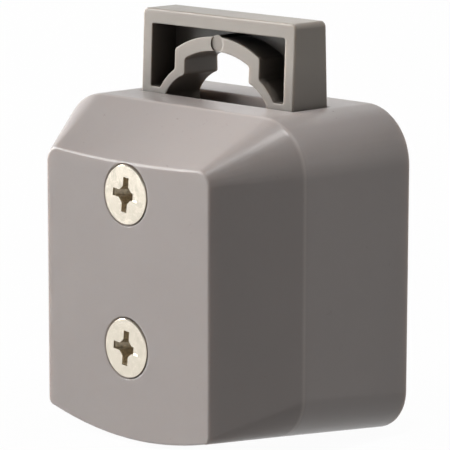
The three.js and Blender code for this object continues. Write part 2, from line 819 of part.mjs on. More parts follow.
function buildButtonScrew() {
  const headRadius = buttonScrewHeadDiameter / 2;
  const shankRadius = buttonScrewDiameter / 2;
  return turned([
    [0, buttonSeatY - buttonScrewGrip],
    [shankRadius, buttonSeatY - buttonScrewGrip + seatGap],
    [shankRadius, buttonScrewHeadY],
    [headRadius, buttonScrewHeadY],
    [headRadius, buttonScrewHeadY + buttonScrewHeadHeight - buttonScrewRounding],
    [headRadius - buttonScrewRounding, buttonScrewHeadY + buttonScrewHeadHeight],
    [0, buttonScrewHeadY + buttonScrewHeadHeight],
  ], smallSides);
}

function buildSpringWasher() {
  const outer = springPocketRadius - holeClearance;
  const inner = springMeanRadius - springWire;
  const frontFaceY = springSeatY - seatGap - springWasherThickness;
  return turned([
    [inner, frontFaceY],
    [outer, frontFaceY],
    [outer, springSeatY - seatGap],
    [inner, springSeatY - seatGap],
    [inner, frontFaceY],
  ]);
}

// Spring: one round wire wound along Y
function buildMainSpring() {
  const stepsPerTurn = 8;
  const wireSides = 5;
  const steps = springTurns * stepsPerTurn;
  const startY = springFrontY + springWire / 2;
  const endY = springRearY - springWire / 2 - seatGap;
  const centreAt = (step) => {
    const angle = 2 * Math.PI * step / stepsPerTurn;
    return new THREE.Vector3(
      springMeanRadius * Math.cos(angle),
      startY + (endY - startY) * step / steps,
      springMeanRadius * Math.sin(angle),
    );
  };
  const centres = Array.from({ length: steps + 1 }, (_, step) => centreAt(step));
  const rings = centres.map((centre, step) => {
    const angle = 2 * Math.PI * step / stepsPerTurn;
    const outward = new THREE.Vector3(Math.cos(angle), 0, Math.sin(angle));
    const along = centreAt(step + 0.01).sub(centreAt(step - 0.01)).normalize();
    const across = along.clone().cross(outward);
    return Array.from({ length: wireSides }, (_, side) => {
      const turn = 2 * Math.PI * side / wireSides;
      return centre.clone()
        .addScaledVector(outward, Math.cos(turn) * springWire / 2)
        .addScaledVector(across, Math.sin(turn) * springWire / 2);
    });
  });
  let leastGap = Infinity;
  for (let a = 0; a <= steps; a++) {
    for (let b = a + stepsPerTurn - 1; b <= steps; b++) {
      leastGap = Math.min(leastGap, centres[a].distanceTo(centres[b]) - springWire);
    }
  }
  console.log(`main_spring: least gap to itself ${leastGap.toFixed(2)} mm`);
  return loft(rings);
}

// Latch wire: pivot end, arm and pin, bent from one piece
function buildLatchWire() {
  const pivotEndX = wirePlaneX + wireRadius + runningGap + latchEarWidth - seatGap;
  const pinEndX = sliderHalfWidth - latchPinReach;
  const pivot = new THREE.Vector3(wirePlaneX, latchPivotY, latchPivotZ);
  const pin = new THREE.Vector3(wirePlaneX, latchPinY, latchPinZ);
  const along = pin.clone().sub(pivot).setLength(wireBend);
  const sideways = new THREE.Vector3(wireBend, 0, 0);
  const route = new THREE.CurvePath();
  const afterPivot = pivot.clone().add(along);
  const beforePin = pin.clone().sub(along);
  const pivotTurn = pivot.clone().add(sideways);
  const pinTurn = pin.clone().sub(sideways);
  route.add(new THREE.LineCurve3(new THREE.Vector3(pivotEndX, pivot.y, pivot.z), pivotTurn));
  route.add(new THREE.QuadraticBezierCurve3(pivotTurn, pivot, afterPivot));
  route.add(new THREE.LineCurve3(afterPivot, beforePin));
  route.add(new THREE.QuadraticBezierCurve3(beforePin, pin, pinTurn));
  route.add(new THREE.LineCurve3(pinTurn, new THREE.Vector3(pinEndX, pin.y, pin.z)));
  const section = new THREE.Shape();
  section.absarc(0, 0, wireRadius, 0, 2 * Math.PI, false);
  const wireSteps = 30;
  const halfCircleSides = 4;
  return toSolid(new THREE.ExtrudeGeometry(section, {
    steps: wireSteps,
    curveSegments: halfCircleSides,
    extrudePath: route,
    bevelEnabled: false,
  }));
}

function buildCamPin(side) {
  const [lowX, highX] = [
    side * (sliderHalfWidth - camPinSeat + pressGap),
    side * (cheekOuterX - pressGap),
  ].sort((a, b) => a - b);
  return barX(camPinDiameter / 2, lowX, highX, camPinY, camPinZ);
}

function buildPlungerPin() {
  const reach = sliderHalfHeight - seatGap;
  return barZ(plungerPinDiameter / 2, -reach, reach, 0, plungerPinY);
}

// Assembly
const housing = new THREE.Group();
housing.add(toMesh('case', buildCase(), greyPlastic));
housing.add(toMesh('back_plate', buildBackPlate(), darkPlastic));
housing.add(toMesh('plunger_bush', buildBush(), brass));
housing.add(toMesh('main_spring', buildMainSpring(), steel));
for (const [name, z] of [['upper_fixing_screw', upperScrewZ], ['lower_fixing_screw', lowerScrewZ]]) {
  const screw = toMesh(name, buildFixingScrew(), nickel);
  screw.position.set(0, 0, z);
  housing.add(screw);
}
plateScrewPlaces.forEach(([x, z], i) => {
  const screw = toMesh(`back_plate_screw_${i + 1}`, buildPlateScrew(), steel);
  screw.position.set(x, 0, z);
  housing.add(screw);
});

const plungerGroup = new THREE.Group();
plungerGroup.add(toMesh('cam_slider', buildCamSlider(), darkPlastic));
plungerGroup.add(toMesh('cam_pin_left', buildCamPin(-1), steel));
plungerGroup.add(toMesh('cam_pin_right', buildCamPin(1), steel));
plungerGroup.add(toMesh('plunger', buildPlunger(), steel));
plungerGroup.add(toMesh('plunger_pin', buildPlungerPin(), steel));
plungerGroup.add(toMesh('spring_washer', buildSpringWasher(), steel));
plungerGroup.add(toMesh('push_button', buildPushButton(), greyPlastic));
plungerGroup.add(toMesh('button_screw', buildButtonScrew(), nickel));

const lock = new THREE.Group();
lock.add(housing);
lock.add(plungerGroup);
lock.add(toMesh('bolt', buildBolt(), boltPlastic));
lock.add(toMesh('latch_wire', buildLatchWire(), steel));

export default lock;
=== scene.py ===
import math

import bmesh
import bpy
from mathutils import Matrix, Vector


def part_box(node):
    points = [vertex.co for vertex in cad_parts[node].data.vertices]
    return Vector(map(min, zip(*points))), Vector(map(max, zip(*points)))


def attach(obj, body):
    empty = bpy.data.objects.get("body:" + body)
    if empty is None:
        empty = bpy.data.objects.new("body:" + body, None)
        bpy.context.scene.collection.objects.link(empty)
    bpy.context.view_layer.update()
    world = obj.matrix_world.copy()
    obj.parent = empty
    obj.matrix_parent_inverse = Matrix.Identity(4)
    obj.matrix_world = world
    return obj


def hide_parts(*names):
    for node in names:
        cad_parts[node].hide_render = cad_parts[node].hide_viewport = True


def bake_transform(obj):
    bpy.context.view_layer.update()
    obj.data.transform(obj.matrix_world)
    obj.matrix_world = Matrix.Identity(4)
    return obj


# Push lock for a furniture door, locked, seen from the inner side of the door. Metres, with the
# rear face of the case at Y = 0, the front at -Y and the bolt standing up along +Z.
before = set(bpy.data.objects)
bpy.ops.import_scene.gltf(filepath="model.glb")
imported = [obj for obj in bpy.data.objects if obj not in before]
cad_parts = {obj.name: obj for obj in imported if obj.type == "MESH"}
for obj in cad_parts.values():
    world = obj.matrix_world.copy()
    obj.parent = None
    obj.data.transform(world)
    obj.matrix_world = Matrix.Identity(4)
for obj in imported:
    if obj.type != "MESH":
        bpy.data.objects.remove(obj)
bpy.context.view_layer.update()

# Case
# One moulding of warm grey plastic with a fine spark-eroded skin. Slanted facets frame its front face
# and run out over a rounded shoulder, and the bolt comes out through a slot in its top. Bosses for the
# screws and ribs that guide the bolt stand inside.
mm = 0.001
case_low, case_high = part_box("case")
case_half = case_high.x
case_top = case_high.z
case_bottom = -21.18 * mm
front_y = case_low.y
rear_y = case_high.y
front_half = 14.35 * mm
ridge_drop = 5.65 * mm
ridge_sag = 0.42 * mm
front_bottom_rise = 2.17 * mm
front_bottom_sag = 1.76 * mm
front_top_corner = 1.8 * mm
front_bottom_corner = 0.9 * mm
facet_depth = 9.26 * mm
shoulder_y = front_y + facet_depth
shoulder_bottom_rise = 1.95 * mm
shoulder_bottom_sag = 1.5 * mm
shoulder_top_corner = 6.8 * mm
shoulder_bottom_corner = 5.6 * mm
rear_top_corner = 6.95 * mm
rear_bottom_corner = 5.46 * mm
ridge_rounding = 0.3 * mm
shoulder_rounding = 0.5 * mm
# Width and strength of the lighter band painted along the shoulder edge as its highlight.
edge_highlight_reach = 0.3 * mm
edge_highlight_gain = 1.22
rear_rounding = 0.25 * mm
edge_rounding = 0.12 * mm
wall = 2.0 * mm
front_wall = 2.2 * mm
plate_thickness = 2.5 * mm
plate_rim = 1.6 * mm
seat_gap = 0.1 * mm
running_gap = 0.3 * mm
inner_front_y = front_y + front_wall
plate_inner_y = rear_y - plate_thickness
edge_steps = 24
corner_steps = 16
facet_steps = 14
side_steps = 6
small_sides = 32
seat_sides = 128


def outline(y, half, top, top_sag, top_corner, bottom, bottom_sag, bottom_corner):
    """Ring of points round the case at one depth, clockwise from the left end of its top edge."""
    ring = []

    def edge(reach, height, sag, way):
        for step in range(edge_steps + 1):
            along = way * (2 * step / edge_steps - 1)
            ring.append(Vector((along * reach, y, height - sag * (1 - along * along))))

    def corner(x, z, radius, start, steps):
        for step in steps:
            angle = math.radians(start - 90 * step / corner_steps)
            ring.append(Vector((x + radius * math.cos(angle), y, z + radius * math.sin(angle))))

    top_x = half - top_corner
    bottom_x = half - bottom_corner
    edge(top_x, top, top_sag, 1)
    corner(top_x, top - top_corner, top_corner, 90, range(1, corner_steps + 1))
    corner(bottom_x, bottom + bottom_corner, bottom_corner, 0, range(corner_steps))
    edge(bottom_x, bottom, bottom_sag, -1)
    corner(-bottom_x, bottom + bottom_corner, bottom_corner, -90, range(1, corner_steps + 1))
    corner(-top_x, top - top_corner, top_corner, 180, range(corner_steps))
    return ring


def front_outline(inset, y):
    return outline(
        y,
        half=front_half - inset,
        top=case_top - ridge_drop - inset,
        top_sag=ridge_sag,
        top_corner=front_top_corner,
        bottom=case_bottom + front_bottom_rise + inset,
        bottom_sag=front_bottom_sag,
        bottom_corner=front_bottom_corner,
    )


def shoulder_outline(inset, y):
    return outline(
        y,
        half=case_half - inset,
        top=case_top - inset,
        top_sag=0,
        top_corner=shoulder_top_corner - inset,
        bottom=case_bottom + shoulder_bottom_rise + inset,
        bottom_sag=shoulder_bottom_sag,
        bottom_corner=shoulder_bottom_corner - inset,
    )


def rear_outline(inset, y):
    return outline(
        y,
        half=case_half - inset,
        top=case_top - inset,
        top_sag=0,
        top_corner=rear_top_corner - inset,
        bottom=case_bottom + inset,
        bottom_sag=0,
        bottom_corner=rear_bottom_corner - inset,
    )


def part_way(first, last, share):
    return [a.lerp(b, share) for a, b in zip(first, last)]


def between(first, last, steps):
    """Rings on straight lines from one ring to another, without the two."""
    return [part_way(first, last, step / steps) for step in range(1, steps)]


def bend(before, corner, after, reach, steps):
    """Points that round a corner between the points before and after it."""
    back = (before - corner).normalized() * reach
    forth = (after - corner).normalized() * reach
    shares = [step / steps for step in range(steps + 1)]
    return [corner + back * (1 - share) ** 2 + forth * share**2 for share in shares]


def rounded(before, ring, after, reach, steps=8):
    """Rings that round the corner where a ring meets the lines to its neighbours."""
    bends = [bend(*corner, reach, steps) for corner in zip(before, ring, after)]
    return list(zip(*bends))


def mouth(radius, steps=4):
    """Growth and depth of the steps of a rounded edge, from its flank to the face that it opens in."""
    angles = [math.pi / 2 * step / steps for step in range(steps + 1)]
    return [(radius * (1 - math.cos(angle)), radius * (1 - math.sin(angle))) for angle in angles]


def skin(name, rings, closed=False):
    """Piece with faces between rings of points. Its ends are capped, or joined where it is closed."""
    shape = bmesh.new()
    loops = [[shape.verts.new(point) for point in ring] for ring in rings]
    pairs = list(zip(loops, loops[1:]))
    if closed:
        pairs.append((loops[-1], loops[0]))
    else:
        shape.faces.new(loops[0])
        shape.faces.new(loops[-1])
    for near, far in pairs:
        for i in range(len(near)):
            shape.faces.new((near[i - 1], near[i], far[i], far[i - 1]))
    bmesh.ops.recalc_face_normals(shape, faces=shape.faces)
    mesh = bpy.data.meshes.new(name)
    shape.to_mesh(mesh)
    shape.free()
    piece = bpy.data.objects.new(name, mesh)
    bpy.context.scene.collection.objects.link(piece)
    return piece


def circle(middle, radius, first, second, sides):
    """Ring of points round a middle, from a first direction towards a second one."""
    angles = [2 * math.pi * side / sides for side in range(sides)]
    return [middle + (first * math.cos(angle) + second * math.sin(angle)) * radius for angle in angles]


def turned(name, profile, axis="Y", at=(0, 0, 0), sides=64, closed=False):
    """Piece turned about an axis through a point, from a profile of (radius, place along the axis)."""
    along = Vector((axis == "X", axis == "Y", axis == "Z"))
    outward = Vector((axis == "Z", 0, axis != "Z"))
    aside = along.cross(outward)
    rings = [circle(Vector(at) + along * place, radius, outward, aside, sides) for radius, place in profile]
    return skin(name, rings, closed)


def slab(name, low, high):
    """Block between two corners."""
    corners = [(low[0], low[1]), (high[0], low[1]), (high[0], high[1]), (low[0], high[1])]
    return skin(name, [[Vector((x, y, z)) for x, y in corners] for z in (low[2], high[2])])


def carve(piece, operation, tools):
    """Joins tools to a piece, cuts them out of it or keeps what they share. Flat sides stay whole."""
    flat_angle = math.radians(0.02)
    weld = 0.001 * mm
    for tool in tools:
        step = piece.modifiers.new("carve", "BOOLEAN")
        step.operation = operation
        step.solver = "EXACT"
        step.object = tool
    made = piece.evaluated_get(bpy.context.evaluated_depsgraph_get())
    shape = bmesh.new()
    shape.from_mesh(made.to_mesh())
    made.to_mesh_clear()
    bmesh.ops.remove_doubles(shape, verts=shape.verts, dist=weld)
    bmesh.ops.dissolve_limit(shape, angle_limit=flat_angle, verts=shape.verts, edges=shape.edges)
    piece.modifiers.clear()
    shape.to_mesh(piece.data)
    shape.free()
    for tool in tools:
        bpy.data.objects.remove(tool)
    return piece


def smooth(piece, angle=32):
    """Shades a piece smooth, with its edges sharp and its flat sides flat."""
    piece.data.shade_smooth()
    piece.data.set_sharp_from_angle(angle=math.radians(angle))
    normals = piece.modifiers.new("normals", "WEIGHTED_NORMAL")
    normals.keep_sharp = True
    return piece


class Wire:
    """An output socket of a shader node. Arithmetic on it adds Math nodes."""

    def __init__(self, tree, socket):
        self.tree = tree
        self.socket = socket

    def node(self, kind, settings, inputs, output=0):
        """Any other node: its type, its settings, then the values or links of its sockets."""
        made = self.tree.nodes.new("ShaderNode" + kind)
        for name, value in settings.items():
            setattr(made, name, value)
        for name, value in inputs.items():
            if isinstance(value, Wire):
                self.tree.links.new(value.socket, made.inputs[name])
            else:
                made.inputs[name].default_value = value
        return Wire(self.tree, made.outputs[output] if made.outputs else None)

    def also(self, output):
        """Another output of the same node."""
        return Wire(self.tree, self.socket.node.outputs[output])

    def math(self, operation, first, second):
        return self.node("Math", {"operation": operation}, {0: first, 1: second})

    def __add__(self, other):
        return self.math("ADD", self, other)

    def __radd__(self, other):
        return self.math("ADD", other, self)

    def __sub__(self, other):
        return self.math("SUBTRACT", self, other)

    def __rsub__(self, other):
        return self.math("SUBTRACT", other, self)

    def __mul__(self, other):
        return self.math("MULTIPLY", self, other)

    def __rmul__(self, other):
        return self.math("MULTIPLY", other, self)

    def __pow__(self, other):
        return self.math("POWER", self, other)

    def __abs__(self):
        return self.node("Math", {"operation": "ABSOLUTE"}, {0: self})

    def rise(self, start, end):
        """Goes from 0 to 1 as this value goes from a start to an end."""
        return self.node("MapRange", {}, {"Value": self, "From Min": start, "From Max": end})


def new_finish(name):
    """An empty material, and the place on the piece as the first wire of its nodes."""
    finish = bpy.data.materials.new(name)
    finish.use_nodes = True
    finish.node_tree.nodes.clear()
    place = Wire(finish.node_tree, None).node("TexCoord", {}, {}, "Object")
    return finish, place


def mixed(mask, first, second):
    """Colour that goes from a first to a second one with a mask. A Mix node takes colours in 6 and 7."""
    return mask.node("Mix", {"data_type": "RGBA"}, {0: mask, 6: first, 7: second}, 2)


def shade_of(colour, strength):
    """Lighter or darker shade of a colour."""
    return [min(1, strength * part) for part in colour] + [1]


def shades(mask, colour, dark, light):
    """Colour that goes from a darker to a lighter shade of itself with a mask."""
    return mixed(mask, shade_of(colour, dark), shade_of(colour, light))


def swing(noise, reach):
    """Noise spread evenly about 0, over a reach."""
    return reach * (noise - 0.5)


def moulded(name, colour, roughness, bleed, painted_recess_shade=0.0, highlight_y=None):
    """Moulded plastic with faint clouds and a fine grain, and light that bleeds round its edges.

    Painted shade darkens its recesses through an ambient occlusion mask, and a painted highlight lightens a
    band along an edge at one depth.
    """
    finish, place = new_finish(name)
    clouds = place.node("TexNoise", {}, {"Vector": place, "Scale": 120, "Detail": 3})
    grain = place.node("TexNoise", {}, {"Vector": place, "Scale": 5200, "Detail": 2})
    scuffs = place.node("TexNoise", {}, {"Vector": place, "Scale": 900, "Detail": 4, "Distortion": 0.6})
    pits = place.node("Bump", {}, {"Height": grain, "Strength": 0.25, "Distance": 0.003 * mm})
    shade = shades(clouds, colour, dark=0.96, light=1.04)
    # Painted highlight: a lighter band along the edge at one depth.
    if highlight_y is not None:
        y = place.node("SeparateXYZ", {}, {0: place}, "Y")
        painted_highlight = 1 - abs(y - highlight_y).rise(0, edge_highlight_reach)
        shade = mixed(painted_highlight, shade, shade_of(colour, edge_highlight_gain))
    # Painted shade: where ambient occlusion finds the surface hemmed in, its colour goes towards a darker
    # shade of itself.
    if painted_recess_shade:
        open_air = place.node("AmbientOcclusion", {"samples": 8}, {"Distance": 6.0 * mm}, "AO")
        shade = mixed(open_air, shade_of(colour, 1 - painted_recess_shade), shade)
    shader = place.node(
        "BsdfPrincipled",
        {},
        {
            "Base Color": shade,
            "Roughness": roughness + swing(scuffs, reach=0.10) + swing(grain, reach=0.06),
            "Normal": pits,
            "Specular IOR Level": 0.3,
            "Subsurface Weight": 0.7,
            "Subsurface Radius": (1.0, 0.88, 0.80),
            "Subsurface Scale": bleed,
        },
    )
    place.node("OutputMaterial", {}, {"Surface": shader})
    return finish


def fit(piece, finish, body, node):
    """Gives a piece its finish, hides the imported part it stands for and hangs it on the empty of the body
    that carries it.
    """
    piece.data.materials.clear()
    piece.data.materials.append(finish)
    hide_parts(node)
    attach(piece, body)


face = front_outline(0, front_y)
face_middle = [Vector((0, front_y, 0)) for point in face]
shoulder = shoulder_outline(0, shoulder_y)
rear = rear_outline(0, rear_y)
ridge_rings = rounded(face_middle, face, shoulder, ridge_rounding)
shoulder_rings = rounded(face, shoulder, rear, shoulder_rounding)
rear_rings = rounded(shoulder, rear, rear_outline(plate_rim, rear_y), rear_rounding)
facet_rings = between(ridge_rings[-1], shoulder_rings[0], facet_steps)
side_rings = between(shoulder_rings[-1], rear_rings[0], side_steps)
case = skin("moulded_case", [*ridge_rings, *facet_rings, *shoulder_rings, *side_rings, *rear_rings])

facet_angle = math.atan2(case_half - front_half, shoulder_y - front_y)
cavity_inset = wall * math.tan((math.pi / 2 - facet_angle) / 2)
cavity_shift = wall * math.tan(facet_angle / 2)
cavity = skin("cavity", [
    front_outline(cavity_inset, inner_front_y),
    shoulder_outline(wall, shoulder_y + cavity_shift),
    rear_outline(wall, plate_inner_y),
    rear_outline(wall, rear_y + wall),
])
carve(case, "DIFFERENCE", [cavity])


def middle_of(node):
    low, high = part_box(node)
    return (low + high) / 2


screw_nodes = ["upper_fixing_screw", "lower_fixing_screw"]
screw_places = [(0, 0, middle_of(node).z) for node in screw_nodes]
plate_screw_nodes = [f"back_plate_screw_{number}" for number in range(1, 5)]
plate_screw_places = [(middle_of(node).x, 0, middle_of(node).z) for node in plate_screw_nodes]
screw_bore = 2.2 * mm
screw_boss = 3.3 * mm
spring_post = 2.2 * mm
spring_post_length = 3.0 * mm
plate_boss = 2.35 * mm
plate_boss_length = 10.0 * mm
boss_front_y = front_y + front_wall / 2
boss_rear_y = plate_inner_y - seat_gap
post_end_y = inner_front_y + spring_post_length
inside = [turned("post", [(spring_post, boss_front_y), (spring_post, post_end_y)])]
for at in screw_places:
    inside.append(turned("boss", [(screw_boss, boss_front_y), (screw_boss, boss_rear_y)], at=at))
for at in plate_screw_places:
    ends = [(plate_boss, plate_inner_y - plate_boss_length), (plate_boss, boss_rear_y)]
    inside.append(turned("boss", ends, at=at, sides=small_sides))

bolt_low, bolt_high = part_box("bolt")
bolt_half = bolt_high.x
bolt_setback = 6.34 * mm
bolt_thickness = 6.09 * mm
bolt_rear_y = rear_y - bolt_setback
bolt_front_y = bolt_rear_y - bolt_thickness
rail_thickness = 1.3 * mm
rib_thickness = 1.3 * mm
rib_inner_x = bolt_half - rail_thickness + running_gap
for rib_y in (bolt_front_y - running_gap - rib_thickness, bolt_rear_y + running_gap):
    for low_x, high_x in ((-case_half, -rib_inner_x), (rib_inner_x, case_half)):
        rib = slab("rib", (low_x, rib_y, case_bottom), (high_x, rib_y + rib_thickness, case_top))
        depths = [(y - shoulder_y) / (rear_y - shoulder_y) for y in (rib_y - wall, rib_y + 2 * wall)]
        walls = (shoulder_outline(wall / 2, shoulder_y), rear_outline(wall / 2, rear_y))
        middle_of_wall = skin("wall", [part_way(*walls, depth) for depth in depths])
        inside.append(carve(rib, "INTERSECT", [middle_of_wall]))
carve(case, "UNION", inside)

slot_gap = 0.2 * mm
slot_bottom = case_top - 2 * wall
slot_x = bolt_half + slot_gap


def slot_ring(growth, z):
    low_y = bolt_front_y - slot_gap - growth
    high_y = bolt_rear_y + slot_gap + growth
    x = slot_x + growth
    return [Vector((-x, low_y, z)), Vector((x, low_y, z)), Vector((x, high_y, z)), Vector((-x, high_y, z))]


bolt_slot = skin("slot", [
    slot_ring(0, slot_bottom),
    *[slot_ring(growth, case_top - depth) for growth, depth in mouth(edge_rounding)],
    slot_ring(edge_rounding, case_top + wall),
])
plate_recess = skin("plate_recess", [
    rear_outline(plate_rim, plate_inner_y),
    *[rear_outline(plate_rim - growth, rear_y - depth) for growth, depth in mouth(edge_rounding)],
    rear_outline(plate_rim - edge_rounding, rear_y + wall),
])
head_radius = 3.65 * mm
head_gap = 0.2 * mm
head_rim = 0.3 * mm
screw_face_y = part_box("upper_fixing_screw")[0].y
seat_radius = head_radius + head_gap
seat_rim_y = screw_face_y + head_rim
bore_profile = [
    (seat_radius + edge_rounding, front_y - wall),
    *[(seat_radius + growth, front_y + depth) for growth, depth in reversed(mouth(edge_rounding))],
    (seat_radius, seat_rim_y),
    (screw_bore, seat_rim_y + seat_radius - screw_bore),
    (screw_bore, rear_y + wall),
]
bores = [turned("bore", bore_profile, at=at, sides=seat_sides) for at in screw_places]
plate_bore = 1.2 * mm
plate_bore_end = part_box("back_plate_screw_1")[0].y - seat_gap
for at in plate_screw_places:
    ends = [(plate_bore, plate_bore_end), (plate_bore, rear_y + wall)]
    bores.append(turned("bore", ends, at=at, sides=small_sides))
carve(case, "DIFFERENCE", [plate_recess, bolt_slot, *bores])
case_colour = (0.352, 0.315, 0.300)
# The case's shoulder edge gets the painted highlight.
case_plastic = moulded(
    "warm_grey_plastic",
    case_colour,
    roughness=0.30,
    bleed=2.5 * mm,
    highlight_y=shoulder_y,
)
fit(smooth(case), case_plastic, "housing", "case")

# Bolt
# A moulded dead bolt: a frame with an arch inside it and blind pockets between the two, so that the
# hook of a keeper can pass under the arch. Its legs reach down through the slot and carry two cheeks
# with slanted cam slots, which the pins of the slider draw it in and out by.
bolt_top = bolt_high.z
bolt_bottom = bolt_low.z
bolt_draft = 0.38 * mm
bolt_corner = 0.7 * mm
bolt_edge = 0.3 * mm
bolt_side_wall = 1.72 * mm
bolt_top_wall = 1.85 * mm
bolt_foot_wall = 0.7 * mm
bolt_ease = 0.3 * mm
pocket_depth = 4.4 * mm
arch_half = 5.63 * mm
arch_wall = 1.8 * mm
arch_knee = 2.65 * mm
arch_shoulder = 4.7 * mm
arch_crown = 6.05 * mm
arch_foot = 8.95 * mm
arch_foot_radius = 6.0 * mm
arch_foot_wall = 1.25 * mm
leg_drop = 1.4 * mm
leg_bottom = case_top - wall - leg_drop
arc_step = 0.42 * mm
least_steps = 8


def arc(x, z, radius, start, end):
    """Points (x, z) along an arc, both ends among them."""
    steps = max(least_steps, math.ceil(radius * abs(end - start) / arc_step))
    angles = [start + (end - start) * step / steps for step in range(steps + 1)]
    return [Vector((x + radius * math.cos(angle), z + radius * math.sin(angle))) for angle in angles]


def foot_arc(half, knee, foot_x, foot_z, radius):
    """Centre and end angles of the arc from a foot of the arch to its knee, over the top of the case."""
    span_x = half - foot_x
    span_z = knee - foot_z
    span = math.hypot(span_x, span_z)
    offset = math.sqrt(radius * radius - span * span / 4)
    x = (half + foot_x) / 2 - offset * span_z / span
    z = (knee + foot_z) / 2 + offset * span_x / span
    return x, z, math.atan2(foot_z - z, foot_x - x), math.atan2(knee - z, half - x)


def arch(half, knee, shoulder_rise, crown, foot_x, foot_z, radius):
    """Points (x, z) of an arch from its right foot over the crown to its left foot."""
    x, z, at_foot, at_knee = foot_arc(half, knee, foot_x, foot_z, radius)
    rise = crown - shoulder_rise
    crown_radius = (half * half + rise * rise) / (2 * rise)
    crown_angle = math.asin(half / crown_radius)
    crown_start = math.pi / 2 - crown_angle
    right = arc(x, case_top + z, radius, at_foot, at_knee)
    middle = arc(0, case_top + crown - crown_radius, crown_radius, crown_start, crown_start + 2 * crown_angle)
    left = [Vector((-point.x, point.y)) for point in reversed(right)]
    return right + middle + left


def corners_of(points):
    """Each point of a closed outline with the points before and after it."""
    return zip(points[-1:] + points[:-1], points, points[1:] + points[:1])


def eased(points, reach, steps=4):
    """Closed outline with its sharp corners rounded."""
    sharp = math.radians(20)
    made = []
    for before, point, after in corners_of(points):
        if (point - before).angle(after - point) < sharp:
            made.append(point)
        else:
            made += bend(before, point, after, reach, steps)
    return made


def grown(points, distance):
    """Closed outline with each of its sides moved out by a distance."""
    way = math.copysign(1, sum(a.cross(b) for a, b, after in corners_of(points)))
    made = []
    for before, point, after in corners_of(points):
        first = (point - before).normalized()
        second = (after - point).normalized()
        normals = Vector((first.y, -first.x)) + Vector((second.y, -second.x))
        made.append(point + normals * (way * distance / (1 + first.dot(second))))
    return made


def lean(points, y, way):
    """Ring of an outline on a broad side, which leans in by the draft from the case to the bolt's top."""
    slope = way * bolt_draft / (bolt_top - case_top)
    return [Vector((point.x, y + slope * (point.y - case_top), point.y)) for point in points]


def front_mouth(points, radius):
    """Rings of a cutter that opens in the front of the bolt with a rounded edge."""
    rings = [lean(grown(points, radius), bolt_front_y - wall, 1)]
    for growth, depth in reversed(mouth(radius)):
        rings.append(lean(grown(points, growth), bolt_front_y + depth, 1))
    return rings


corner_x = bolt_half - bolt_corner
corner_z = bolt_top - bolt_corner
frame_points = [
    Vector((-bolt_half, leg_bottom)),
    *arc(-corner_x, corner_z, bolt_corner, math.pi, math.pi / 2),
    *arc(corner_x, corner_z, bolt_corner, math.pi / 2, 0),
    Vector((bolt_half, leg_bottom)),
]
bolt_sides = [(grown(frame_points, -growth), depth) for growth, depth in mouth(bolt_edge, steps=6)]
bolt = skin("moulded_bolt", [
    *[lean(points, bolt_front_y + depth, 1) for points, depth in reversed(bolt_sides)],
    *[lean(points, bolt_rear_y - depth, -1) for points, depth in bolt_sides],
])

opening_points = eased(
    arch(arch_half, arch_knee, arch_shoulder, arch_crown, arch_foot, 0, arch_foot_radius)
    + [Vector((-arch_foot, leg_bottom - wall)), Vector((arch_foot, leg_bottom - wall))],
    bolt_ease,
)
opening = skin("opening", [
    *front_mouth(opening_points, edge_rounding),
    *[lean(grown(opening_points, growth), bolt_rear_y - depth, -1) for growth, depth in mouth(edge_rounding)],
    lean(grown(opening_points, edge_rounding), bolt_rear_y + wall, -1),
])

outer_radius = arch_foot_radius + arch_foot_wall
foot_x, foot_z = foot_arc(arch_half, arch_knee, arch_foot, 0, arch_foot_radius)[:2]
pocket_half = arch_half + arch_wall
pocket_foot = foot_x + math.sqrt(outer_radius**2 - (bolt_foot_wall - foot_z) ** 2)
pocket_knee = foot_z + math.sqrt(outer_radius**2 - (pocket_half - foot_x) ** 2)
crown_slope = 2 * math.atan2(arch_crown - arch_shoulder, arch_half)
pocket_shoulder = arch_shoulder + arch_wall * math.tan((math.pi / 2 - crown_slope) / 2)
pocket_x = bolt_half - bolt_side_wall
pocket_top = bolt_top - bolt_top_wall
pocket_bottom = case_top + bolt_foot_wall
pocket_crown = arch_crown + arch_wall
pocket_points = eased(
    arch(pocket_half, pocket_knee, pocket_shoulder, pocket_crown, pocket_foot, bolt_foot_wall, outer_radius)
    + [
        Vector((-pocket_x, pocket_bottom)),
        Vector((-pocket_x, pocket_top)),
        Vector((pocket_x, pocket_top)),
        Vector((pocket_x, pocket_bottom)),
    ],
    bolt_ease,
)
pocket_floor_y = bolt_front_y + pocket_depth
pocket = skin("pocket", [
    *front_mouth(pocket_points, edge_rounding),
    [Vector((point.x, pocket_floor_y, point.y)) for point in pocket_points],
])
carve(bolt, "DIFFERENCE", [opening, pocket])

pad_radius = 1.05 * mm
pad_sink = 0.18 * mm
pad_gap = 0.02 * mm
pad_drop = 0.07 * mm
pad_at = Vector((0, 0, case_top + arch_crown - pad_drop + pad_radius))
pad_front_y = bolt_front_y + bolt_draft * (pad_at.z - case_top) / (bolt_top - case_top)
pad_face_y = pad_front_y + pad_sink
pad_root_y = pocket_floor_y + wall / 4
pad = turned("pad", [(pad_radius, pad_front_y + pad_sink / 2), (pad_radius, pad_root_y)], at=pad_at)
seat = pad_radius + pad_gap
pad_seat = turned("pad_seat", [(seat, pad_front_y - wall), (seat, pad_face_y)], at=pad_at)
carve(bolt, "UNION", [pad])
carve(bolt, "DIFFERENCE", [pad_seat])

